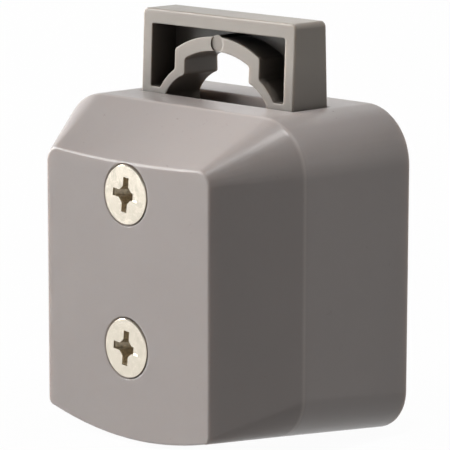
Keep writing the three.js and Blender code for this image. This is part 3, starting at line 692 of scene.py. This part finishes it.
cam_ratio = 1.25
cam_travel = 8.4 * mm
press_travel = 0.6 * mm
cam_slot_radius = 1.6 * mm
cam_margin = 2.0 * mm
pin_at = middle_of("cam_pin_right")
cheek_inner_x = 9.0 * mm
cheek_outer_x = bolt_half - rail_thickness
cheek_rear_y = pin_at.y + cam_travel + cam_slot_radius + cam_margin
cheek_front_y = pin_at.y - press_travel - cam_slot_radius - cam_margin
cam_end_z = pin_at.z + cam_ratio * cam_travel
cheek_points = [
    (cheek_front_y, bolt_bottom),
    (pin_at.y + 2 * cam_margin, bolt_bottom),
    (cheek_rear_y, cam_end_z - cam_margin),
    (cheek_rear_y, leg_bottom),
    (bolt_front_y, leg_bottom),
    (cheek_front_y, pin_at.z + cam_slot_radius + cam_margin),
]


def groove(start, end, radius):
    """Outline (y, z) of a groove with round ends."""
    heading = math.atan2(end[1] - start[1], end[0] - start[0])
    quarter = math.pi / 2
    return [
        *arc(*start, radius, heading + quarter, heading + 3 * quarter),
        *arc(*end, radius, heading - quarter, heading + quarter),
    ]


def across(name, points, first_x, last_x):
    """Outline (y, z) drawn out along X."""
    return skin(name, [[Vector((x, y, z)) for y, z in points] for x in (first_x, last_x)])


cam_start = (pin_at.y - press_travel, pin_at.z - cam_ratio * press_travel)
cam_points = groove(cam_start, (pin_at.y + cam_travel, cam_end_z), cam_slot_radius)
legs = []
cam_slots = []
for side in (-1, 1):
    rail_x = sorted((side * cheek_inner_x, side * bolt_half))
    rail_low = (rail_x[0], bolt_front_y, bolt_bottom)
    rail_high = (rail_x[1], bolt_rear_y, leg_bottom + wall / 2)
    legs.append(slab("rail", rail_low, rail_high))
    legs.append(across("cheek", cheek_points, side * cheek_inner_x, side * cheek_outer_x))
    cam_slots.append(across("cam_slot", cam_points, side * (cheek_inner_x - wall), side * (bolt_half + wall)))
carve(bolt, "UNION", legs)
carve(bolt, "DIFFERENCE", cam_slots)
bolt_colour = (0.312, 0.279, 0.244)
# The bolt's pockets and the hollow under its arch are painted dark by ambient occlusion, as their shade.
bolt_plastic = moulded("bolt_plastic", bolt_colour, roughness=0.32, bleed=1.6 * mm, painted_recess_shade=1.0)
fit(smooth(bolt), bolt_plastic, "bolt", "bolt")

# Cam slider
# A block of dark moulded plastic that slides between the screw bosses and straddles the lower one. It
# holds the cam pins, the plunger and the spring, and a heart-shaped track is sunk in its right side.
slider_low, slider_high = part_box("cam_slider")
slider_half = slider_high.x
slider_edge = 0.25 * mm
slider_corner = 0.6 * mm
leg_inner_x = 3.6 * mm
spring_pocket = 4.1 * mm
spring_pocket_y = -16.0 * mm
socket = 3.6 * mm
socket_y = -14.8 * mm
cross_bore = 1.1 * mm
pin_bore = 1.4 * mm
pin_bore_x = 4.6 * mm
track_radius = 0.9 * mm
track_depth = 1.35 * mm
latch_pin_y = -13.6 * mm
latch_pin_z = -7.2 * mm
track_rear_y = -13.0 * mm
track_front_y = -22.0 * mm
track_low_z = -9.4 * mm
track_high_z = -4.4 * mm
track_points = [
    (track_rear_y, latch_pin_z),
    (latch_pin_y, latch_pin_z),
    (track_front_y, track_low_z),
    (pin_at.y, track_high_z),
    (latch_pin_y, track_high_z),
]
slider_points = eased([
    Vector((-slider_half, slider_high.z)),
    Vector((slider_half, slider_high.z)),
    Vector((slider_half, slider_low.z)),
    Vector((leg_inner_x, slider_low.z)),
    Vector((leg_inner_x, -slider_high.z)),
    Vector((-leg_inner_x, -slider_high.z)),
    Vector((-leg_inner_x, slider_low.z)),
    Vector((-slider_half, slider_low.z)),
], slider_corner)


def upright(points, y):
    """Ring of an outline (x, z) at one depth."""
    return [Vector((point.x, y, point.y)) for point in points]


slider_ends = [(grown(slider_points, -growth), depth) for growth, depth in mouth(slider_edge)]
slider = skin("moulded_slider", [
    *[upright(points, slider_low.y + depth) for points, depth in reversed(slider_ends)],
    *[upright(points, slider_high.y - depth) for points, depth in slider_ends],
])
cross_at = middle_of("plunger_pin")
cross_ends = [(cross_bore, slider_low.z - wall), (cross_bore, slider_high.z + wall)]
slider_cuts = [
    turned("pocket", [(spring_pocket, slider_low.y - wall), (spring_pocket, spring_pocket_y)]),
    turned("socket", [(socket, socket_y), (socket, slider_high.y + wall)]),
    turned("cross", cross_ends, "Z", (0, cross_at.y, 0), small_sides),
]
for side in (-1, 1):
    ends = [(pin_bore, side * pin_bore_x), (pin_bore, side * (slider_half + wall))]
    slider_cuts.append(turned("pin_bore", ends, "X", (0, pin_at.y, pin_at.z), small_sides))
carve(slider, "DIFFERENCE", slider_cuts)
track = None
for start, end in zip(track_points, track_points[1:] + track_points[:1]):
    stretch = across("track", groove(start, end, track_radius), slider_half - track_depth, slider_half + wall)
    track = carve(track, "UNION", [stretch]) if track else stretch
carve(slider, "DIFFERENCE", [track])
dark_plastic = moulded("dark_plastic", (0.070, 0.065, 0.060), roughness=0.42, bleed=0.5 * mm)
fit(smooth(slider), dark_plastic, "plunger_set", "cam_slider")

# Cam pins and plunger pin
# Ground steel pins with chamfered ends. Two are pressed into the slider and run in the cam slots of the
# bolt, and one goes across the slider and holds the end of the plunger.
pin_chamfer = 0.25 * mm
pin_sides = 48
# Painted shade for screw recesses and thread roots: a dull dark brown, and the depths where it starts and
# stops.
recess_shade_colour = (0.36, 0.30, 0.21)
recess_shade_start = 0.26 * mm
recess_shade_full = 0.34 * mm
recess_shade_end = 2.4 * mm
recess_shade_clear = 2.6 * mm
recess_shade_dullness = 0.7


def bright_metal(name, colour, roughness, marks, axis_z=0.0, shaded_face_y=None, root=0.0, crest=0.0):
    """Turned or drawn metal: fine rings about axes along Y and a cloudy lustre.

    On a screw with its face at one depth, the recess and the roots of the thread are painted a dull dark
    brown as their shade.
    """
    finish, place = new_finish(name)
    x = place.node("SeparateXYZ", {}, {0: place})
    z = abs(x.also("Z")) - axis_z
    radius = (x * x + z * z) ** 0.5
    rings = place.node("TexNoise", {"noise_dimensions": "1D"}, {"W": radius, "Scale": 14000, "Detail": 3})
    clouds = place.node("TexNoise", {}, {"Vector": place, "Scale": 1500, "Detail": 5})
    shade = shades(clouds, colour, dark=0.90, light=1.06)
    polish = 1.0
    if shaded_face_y is not None:
        depth = x.also("Y") - shaded_face_y
        clean = depth.rise(recess_shade_end, recess_shade_clear) * radius.rise(root, crest)
        # Painted shade: the recess, and further back the roots of the thread, turn dull dark brown.
        painted_shade_mask = depth.rise(recess_shade_start, recess_shade_full) * (1 - clean)
        specks = place.node("TexNoise", {}, {"Vector": place, "Scale": 2600, "Detail": 2})
        shade = mixed(painted_shade_mask, shade, shades(specks, recess_shade_colour, dark=0.2, light=2.2))
        polish = 1 - recess_shade_dullness * painted_shade_mask
    turning = place.node("Bump", {}, {"Height": rings, "Strength": marks, "Distance": 0.003 * mm})
    shader = place.node(
        "BsdfPrincipled",
        {},
        {
            "Base Color": shade,
            "Metallic": polish,
            "Roughness": roughness + swing(clouds, reach=0.16) + swing(rings, reach=0.10),
            "Normal": turning,
        },
    )
    place.node("OutputMaterial", {}, {"Surface": shader})
    return finish


def rod(radius, start, end, chamfer):
    """Profile of a rod with chamfered ends."""
    return [
        (radius - chamfer, start),
        (radius, start + chamfer),
        (radius, end - chamfer),
        (radius - chamfer, end),
    ]


def pin(name, node, axis):
    """Round pin with chamfered ends in the place of its node."""
    low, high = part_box(node)
    index = "XYZ".index(axis)
    reach = (high - low)[index] / 2
    radius = (high - low)[(index + 1) % 3] / 2
    return smooth(turned(name, rod(radius, -reach, reach, pin_chamfer), axis, middle_of(node), pin_sides))


steel = bright_metal("bright_steel", (0.56, 0.56, 0.55), roughness=0.28, marks=0.3)
pins = {"cam_pin_left": "X", "cam_pin_right": "X", "plunger_pin": "Z"}
for node, axis in pins.items():
    fit(pin("ground_" + node, node, axis), steel, "plunger_set", node)

# Plunger
# A turned steel rod. Its thin end sits in the slider, held by the cross pin, and its rear end comes out
# through the bush and has a threaded hole for the screw of the button.
plunger_low, plunger_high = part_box("plunger")
plunger_radius = plunger_high.x
spigot = 3.5 * mm
spigot_end_y = slider_high.y + seat_gap
plunger_hole = 1.6 * mm
plunger_hole_y = -1.3 * mm
plunger_chamfer = 0.4 * mm
turned_sides = 96
plunger = turned("turned_plunger", [
    *rod(spigot, plunger_low.y, spigot_end_y, plunger_chamfer)[:2],
    (spigot, spigot_end_y),
    *rod(plunger_radius, spigot_end_y, plunger_high.y, plunger_chamfer),
], sides=turned_sides)
plunger_cuts = [
    turned("cross", cross_ends, "Z", (0, cross_at.y, 0), small_sides),
    turned("hole", [
        (plunger_hole, plunger_hole_y),
        (plunger_hole, plunger_high.y - pin_chamfer),
        (plunger_hole + 2 * pin_chamfer, plunger_high.y + pin_chamfer),
    ]),
]
carve(plunger, "DIFFERENCE", plunger_cuts)
fit(smooth(plunger), steel, "plunger_set", "plunger")

# Main spring
# A compression spring of drawn steel wire, six turns. It stands over a post of the case, pushes on the
# slider through a washer and throws the button out when the latch lets go.
spring_radius = 3.2 * mm
spring_wire = 0.4 * mm
spring_turns = 6
spring_start_y = -24.8 * mm
spring_end_y = -17.1 * mm
turn_steps = 48


def tube(name, path, radius, sides=12):
    """Round wire along a path, with flat ends."""
    rings = []
    normal = None
    for before, point, after in zip(path[:1] + path[:-1], path, path[1:] + path[-1:]):
        heading = (after - before).normalized()
        normal = heading.orthogonal() if normal is None else normal - heading * normal.dot(heading)
        normal.normalize()
        rings.append(circle(point, radius, normal, heading.cross(normal), sides))
    return smooth(skin(name, rings), angle=60)


spring_path = []
for step in range(spring_turns * turn_steps + 1):
    angle = 2 * math.pi * step / turn_steps
    share = step / (spring_turns * turn_steps)
    y = spring_start_y + (spring_end_y - spring_start_y) * share
    spring_path.append(Vector((spring_radius * math.cos(angle), y, spring_radius * math.sin(angle))))
spring = tube("wound_spring", spring_path, spring_wire)
spring.data.materials.append(steel)
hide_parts("main_spring")
washer_low, washer_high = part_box("spring_washer")
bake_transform(spring)

# Spring washer
# A ring stamped from bright steel strip, with its edges broken. It lies in the pocket of the slider and
# keeps the end of the spring from biting into the plastic.
washer_hole = 2.4 * mm
washer_edge = 0.08 * mm


def ring_profile(inner, outer, start, end, edge):
    """Closed profile of a ring with chamfered edges."""
    bore = [(2 * inner - radius, y) for radius, y in reversed(rod(inner, start, end, edge))]
    return rod(outer, start, end, edge) + bore


washer_profile = ring_profile(washer_hole, washer_high.x, washer_low.y, washer_high.y, washer_edge)
washer = turned("stamped_washer", washer_profile, closed=True)
fit(smooth(washer), steel, "plunger_set", "spring_washer")

# Latch wire
# A bent steel wire. One end turns in an ear of the back plate, and the other follows the track in the
# slider, which holds the button in after one push and lets it out after the next.
latch_low, latch_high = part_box("latch_wire")
latch_x = 7.8 * mm
latch_pivot = Vector((latch_x, -3.75 * mm, -8.3 * mm))
latch_pin = Vector((latch_x, latch_pin_y, latch_pin_z))
latch_wire = 0.6 * mm
latch_bend = 1.1 * mm
latch_bend_steps = 10
latch_sides = 24
latch_start = Vector((latch_high.x, latch_pivot.y, latch_pivot.z))
latch_end = Vector((latch_low.x, latch_pin.y, latch_pin.z))
latch = tube("bent_latch_wire", [
    latch_start,
    *bend(latch_start, latch_pivot, latch_pin, latch_bend, latch_bend_steps),
    *bend(latch_pivot, latch_pin, latch_end, latch_bend, latch_bend_steps),
    latch_end,
], latch_wire, latch_sides)
fit(latch, steel, "latch", "latch_wire")

# Back plate
# A dark moulded plate that closes the rear of the case and lies against the door. It carries the bush
# of the plunger and an ear for the latch wire, and four countersunk screws hold it.
bush_hole = 6.35 * mm
plate_head = 2.1 * mm
plate_head_rim = 0.3 * mm
plate_screw_face_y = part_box("back_plate_screw_1")[1].y
ear_inner_x = 8.7 * mm
ear_outer_x = 11.1 * mm
ear_front_y = -5.0 * mm
ear_half = 1.25 * mm
ear_hole = 0.7 * mm
hole_sides = 48
ear_low = (ear_inner_x, ear_front_y, latch_pivot.z - ear_half)
ear_high = (ear_outer_x, plate_inner_y + seat_gap, latch_pivot.z + ear_half)
plate_inset = plate_rim + seat_gap
plate = skin("moulded_back_plate", [
    rear_outline(plate_inset, plate_inner_y),
    *[rear_outline(plate_inset + growth, rear_y - depth) for growth, depth in mouth(2 * edge_rounding)],
])
carve(plate, "UNION", [slab("ear", ear_low, ear_high)])


def plate_hole(radius, at, sides):
    """Cutter of a hole through the plate, with a rounded edge at the rear."""
    profile = [
        (radius, plate_inner_y - wall),
        *[(radius + growth, rear_y - depth) for growth, depth in mouth(edge_rounding)],
        (radius + edge_rounding, rear_y + wall),
    ]
    return turned("hole", profile, at=at, sides=sides)


sink_radius = plate_head + seat_gap
sink_rim_y = plate_screw_face_y - plate_head_rim
plate_cuts = [plate_hole(bush_hole, (0, 0, 0), turned_sides)]
plate_cuts += [plate_hole(screw_bore, at, hole_sides) for at in screw_places]
for at in plate_screw_places:
    plate_cuts.append(turned("sink", [
        (plate_bore, plate_inner_y - wall),
        (plate_bore, sink_rim_y - sink_radius + plate_bore),
        (sink_radius, sink_rim_y),
        (sink_radius, rear_y + wall),
    ], at=at, sides=hole_sides))
ear_at = (0, latch_pivot.y, latch_pivot.z)
pivot_ends = [(ear_hole, ear_inner_x - wall), (ear_hole, ear_outer_x + wall)]
plate_cuts.append(turned("pivot", pivot_ends, "X", ear_at, latch_sides))
carve(plate, "DIFFERENCE", plate_cuts)
fit(smooth(plate), dark_plastic, "housing", "back_plate")

# Plunger bush
# A turned brass bush with chamfered ends, pressed into the back plate. It guides the plunger and sits in
# the hole in the door.
bush_low, bush_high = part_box("plunger_bush")
bush_bore = 5.0 * mm
bush_chamfer = 0.3 * mm
brass = bright_metal("turned_brass", (0.72, 0.50, 0.20), roughness=0.26, marks=0.5)
bush_profile = ring_profile(bush_bore, bush_high.x, bush_low.y, bush_high.y, bush_chamfer)
bush = turned("turned_bush", bush_profile, sides=turned_sides, closed=True)
fit(smooth(bush), brass, "housing", "plunger_bush")

# Fixing screws
# Two M4 countersunk screws of nickel-plated steel with a cross recess, which go right through the case
# into the door. Their heads lie flush in its front, and the thread covers the rear part of the shank.
shank = 2.0 * mm
head_edge = 0.1 * mm
thread_pitch = 0.7 * mm
thread_depth = 0.4 * mm
thread_length = 22.0 * mm
tip_chamfer = 0.7 * mm
recess_span = 2.15 * mm
recess_width = 0.95 * mm
recess_web = 1.05 * mm
recess_worn_step = 0.12 * mm
recess_worn_depth = 0.3 * mm
recess_depth = 1.9 * mm
recess_floor_span = 0.86 * mm
recess_floor_width = 0.7 * mm
recess_floor_web = 0.6 * mm
recess_point_depth = 0.4 * mm
recess_point = 0.3
recess_turns = {"upper_fixing_screw": 6, "lower_fixing_screw": 5}
thread_steps = 6


def cross_outline(spans, width, web):
    """Points of a cross with chamfered inner corners, from the reach of each of its four wings."""
    half = width / 2
    points = []
    for quarter, span in enumerate(spans):
        turn = Matrix.Rotation(math.pi / 2 * quarter, 2)
        corners = [(span, -half), (span, half), (web, half), (half, web)]
        points += [turn @ Vector(corner) for corner in corners]
    return points


def recess(at, face_y, way, size, turn, worn=False):
    """Cutter of a cross recess sunk from a face along Y. The first wing is shallow where it is worn."""
    whole = [recess_span] * 4
    opening = cross_outline(whole, recess_width, recess_web)
    below = cross_outline([recess_web, *whole[1:]] if worn else whole, recess_width, recess_web)
    bottom = cross_outline([recess_floor_span] * 4, recess_floor_width, recess_floor_web)
    steps = [
        (-recess_point_depth, opening),
        (0, opening),
        (recess_worn_step, opening),
        (recess_worn_depth, below),
        (recess_depth, bottom),
        (recess_depth + recess_point_depth, [corner * recess_point for corner in bottom]),
    ]
    rings = []
    for depth, corners in steps:
        placed = [Matrix.Rotation(math.radians(turn), 2) @ corner * size for corner in corners]
        y = face_y + way * depth * size
        rings.append([Vector((at[0] + corner.x, y, at[2] + corner.y)) for corner in placed])
    return skin("recess", rings)


def thread_rings(at, start_y, end_y, crest, depth, pitch, sides):
    """Rings of a screw thread along Y, which runs out at both ends."""
    rings = []
    count = round(abs(end_y - start_y) / pitch * thread_steps)
    for step in range(count + 1):
        y = start_y + (end_y - start_y) * step / count
        fade = min(1, step / thread_steps, (count - step) / thread_steps)
        ring = []
        for side in range(sides):
            angle = 2 * math.pi * side / sides
            phase = (step / thread_steps + side / sides) % 1
            radius = crest - depth * fade * (1 - abs(2 * phase - 1))
            ring.append(Vector((at[0] + radius * math.cos(angle), y, at[2] + radius * math.sin(angle))))
        rings.append(ring)
    return rings


def disc(at, radius, y, sides):
    """Ring of points round an axis along Y."""
    return circle(Vector((at[0], y, at[2])), radius, Vector((1, 0, 0)), Vector((0, 0, 1)), sides)


nickel_colour = (0.71, 0.65, 0.55)
# The recesses and thread roots of the fixing screws are painted dull dark brown as their shade.
nickel = bright_metal(
    "nickel_plating",
    nickel_colour,
    roughness=0.22,
    marks=0.3,
    axis_z=screw_places[0][2],
    shaded_face_y=screw_face_y,
    root=shank - thread_depth,
    crest=shank,
)
for node, at in zip(screw_nodes, screw_places):
    tip_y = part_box(node)[1].y
    rim_y = screw_face_y + head_rim
    thread_y = tip_y - thread_length
    screw = skin("plated_" + node, [
        disc(at, head_radius - head_edge, screw_face_y, turned_sides),
        disc(at, head_radius, screw_face_y + head_edge, turned_sides),
        disc(at, head_radius, rim_y, turned_sides),
        disc(at, shank, rim_y + head_radius - shank, turned_sides),
        *thread_rings(at, thread_y, tip_y - tip_chamfer, shank, thread_depth, thread_pitch, turned_sides),
        disc(at, shank - tip_chamfer, tip_y, turned_sides),
    ])
    cutter = recess(at, screw_face_y, way=1, size=1, turn=-recess_turns[node], worn=True)
    carve(screw, "DIFFERENCE", [cutter])
    fit(smooth(screw), nickel, "housing", node)

# Back plate screws
# Four self-tapping screws of bright steel with a countersunk head, a cross recess and a pointed tip.
# They draw the back plate against the bosses of the case.
tapping_shank = 1.1 * mm
tapping_depth = 0.3 * mm
tapping_pitch = 0.9 * mm
point_length = 1.1 * mm
point_radius = 0.1 * mm
tapping_size = 0.55
tapping_turn = 45
tapping_sides = 48
for node, at in zip(plate_screw_nodes, plate_screw_places):
    tip_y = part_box(node)[0].y
    neck_y = plate_screw_face_y - plate_head_rim - plate_head + tapping_shank
    point_y = tip_y + point_length
    screw = skin("tapping_" + node, [
        disc(at, plate_head - head_edge / 2, plate_screw_face_y, tapping_sides),
        disc(at, plate_head, plate_screw_face_y - head_edge / 2, tapping_sides),
        disc(at, plate_head, plate_screw_face_y - plate_head_rim, tapping_sides),
        *thread_rings(at, neck_y, point_y, tapping_shank, tapping_depth, tapping_pitch, tapping_sides),
        disc(at, point_radius, tip_y, tapping_sides),
    ])
    cutter = recess(at, plate_screw_face_y, way=-1, size=tapping_size, turn=tapping_turn)
    carve(screw, "DIFFERENCE", [cutter])
    fit(smooth(screw), steel, "housing", node)

# Push button
# A short button on the end of the plunger, moulded in the plastic of the case. It has a rounded edge and
# a counterbore that its screw is sunk in.
button_low, button_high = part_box("push_button")
button_radius = button_high.x
button_edge = 0.8 * mm
button_hole = 1.7 * mm
counterbore = 2.9 * mm
counterbore_y = 8.9 * mm
button = turned("moulded_button", [
    (button_hole, button_low.y),
    (button_radius - edge_rounding, button_low.y),
    (button_radius, button_low.y + edge_rounding),
    *[(button_radius - growth, button_high.y - depth) for growth, depth in mouth(button_edge, steps=8)],
    *[(counterbore + growth, button_high.y - depth) for growth, depth in reversed(mouth(edge_rounding))],
    (counterbore, counterbore_y),
    (button_hole, counterbore_y),
], sides=turned_sides, closed=True)
fit(smooth(button), case_plastic, "plunger_set", "push_button")

# Button screw
# A pan head screw of nickel-plated steel with a cross recess. It goes into the threaded end of the
# plunger and holds the button on it.
button_screw_low, button_screw_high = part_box("button_screw")
pan_radius = button_screw_high.x
pan_y = 9.0 * mm
pan_edge = 0.3 * mm
button_shank = 1.5 * mm
button_thread_depth = 0.25 * mm
button_thread_pitch = 0.5 * mm
button_recess_size = 0.62
button_recess_turn = 20
pan_sides = 64
axis_at = (0, 0, 0)
tip_y = button_screw_low.y
pan_top_y = button_screw_high.y
button_screw = skin("plated_button_screw", [
    disc(axis_at, button_shank - button_thread_depth, tip_y, pan_sides),
    *thread_rings(
        axis_at,
        tip_y + button_thread_depth,
        pan_y,
        button_shank,
        button_thread_depth,
        button_thread_pitch,
        pan_sides,
    ),
    disc(axis_at, pan_radius - head_edge, pan_y, pan_sides),
    disc(axis_at, pan_radius, pan_y + head_edge, pan_sides),
    *[disc(axis_at, pan_radius - growth, pan_top_y - depth, pan_sides) for growth, depth in mouth(pan_edge)],
])
cutter = recess(axis_at, pan_top_y, way=-1, size=button_recess_size, turn=button_recess_turn)
carve(button_screw, "DIFFERENCE", [cutter])
button_nickel = bright_metal("button_screw_plating", nickel_colour, roughness=0.24, marks=0.3)
fit(smooth(button_screw), button_nickel, "plunger_set", "button_screw")

# Floor and light
# A plain pale floor before a white backdrop that darkens upwards. One broad soft light stands at the front
# left, weaker ones hang above and behind, and a small one with a grid picks out the front right corner.
floor_z = case_bottom
floor_reach = 6.0
floor_depth = 0.02
floor_grey = 0.2
floor_glow = 0.14
floor_white = 1.1
floor_share = 0.86
room_light = 0.02
backdrop_low = 0.30
backdrop_high = 0.60
backdrop_fade = 0.75
white = (1, 1, 1, 1)


def shown(wire):
    """1 for rays from the camera and for those of mirror images, which see the background white."""
    path = wire.node("LightPath", {}, {}, "Is Camera Ray")
    return path + path.also("Is Glossy Ray") + path.also("Is Transmission Ray")


floor_low = (-floor_reach, -floor_reach, floor_z - floor_depth)
floor = slab("floor", floor_low, (floor_reach, floor_reach, floor_z))
floor_finish, place = new_finish("pale_floor")
paper = place.node("BsdfDiffuse", {}, {"Color": (floor_grey, floor_grey, floor_grey, 1)})
glow = place.node("Emission", {}, {"Color": white, "Strength": floor_glow})
lit = place.node("AddShader", {}, {0: paper, 1: glow})
bright = place.node("Emission", {}, {"Color": white, "Strength": floor_white})
floor_shade = place.node("MixShader", {}, {0: floor_share * shown(place), 1: lit, 2: bright})
place.node("OutputMaterial", {}, {"Surface": floor_shade})
floor.data.materials.append(floor_finish)

world = bpy.data.worlds.new("studio")
world.use_nodes = True
world.node_tree.nodes.clear()
bpy.context.scene.world = world
air = Wire(world.node_tree, None)
ambient = air.node("Background", {}, {"Color": white, "Strength": room_light})
height = air.node("SeparateXYZ", {}, {0: air.node("TexCoord", {}, {}, "Generated")}, "Z")
brightness = 1 - backdrop_fade * height.rise(backdrop_low, backdrop_high)
backdrop = air.node("Background", {}, {"Color": white, "Strength": brightness})
sky = air.node("MixShader", {}, {0: shown(air), 1: ambient, 2: backdrop})
air.node("OutputWorld", {}, {"Surface": sky})


def softbox(name, place, size, power, aim=(0, 0, 0), spread=180):
    """Square soft light aimed at a point, itself out of sight. A grid in front of it narrows its spread."""
    lamp = bpy.data.lights.new(name, "AREA")
    lamp.shape = "SQUARE"
    lamp.size = size
    lamp.spread = math.radians(spread)
    lamp.energy = power
    stand = bpy.data.objects.new(name, lamp)
    bpy.context.scene.collection.objects.link(stand)
    stand.location = place
    stand.rotation_euler = (Vector(aim) - Vector(place)).to_track_quat("-Z", "Y").to_euler()
    stand.visible_camera = False


corner_place = (case_half, shoulder_y, case_top - shoulder_top_corner / 2)
softbox("key_light", place=(-1.1, -0.62, 0.18), size=1.5, power=61)
softbox("top_light", place=(0.28, 0.25, 0.70), size=0.4, power=1.9)
softbox("back_light", place=(-0.3, 1.2, 0.3), size=0.8, power=6)
softbox("corner_light", place=(0.06, -0.09, 0.55), size=0.04, power=0.0030, aim=corner_place, spread=6)

# Camera
# The photograph's own angle, from the front right and a little above, through a long lens that keeps the
# upright edges nearly parallel.
lens = bpy.data.cameras.new("camera")
lens.sensor_width = 36
lens.lens = 228.8
lens.clip_start = 0.01
camera = bpy.data.objects.new("camera", lens)
bpy.context.scene.collection.objects.link(camera)
camera_fall = 10.42
camera_roll = -0.104
camera_turn = 45.58
camera.location = (0.25048, -0.25632, 0.06814)
camera.rotation_euler = [math.radians(angle) for angle in (90 - camera_fall, camera_roll, camera_turn)]
bpy.context.scene.camera = camera
bpy.context.scene.view_settings.view_transform = "Standard"
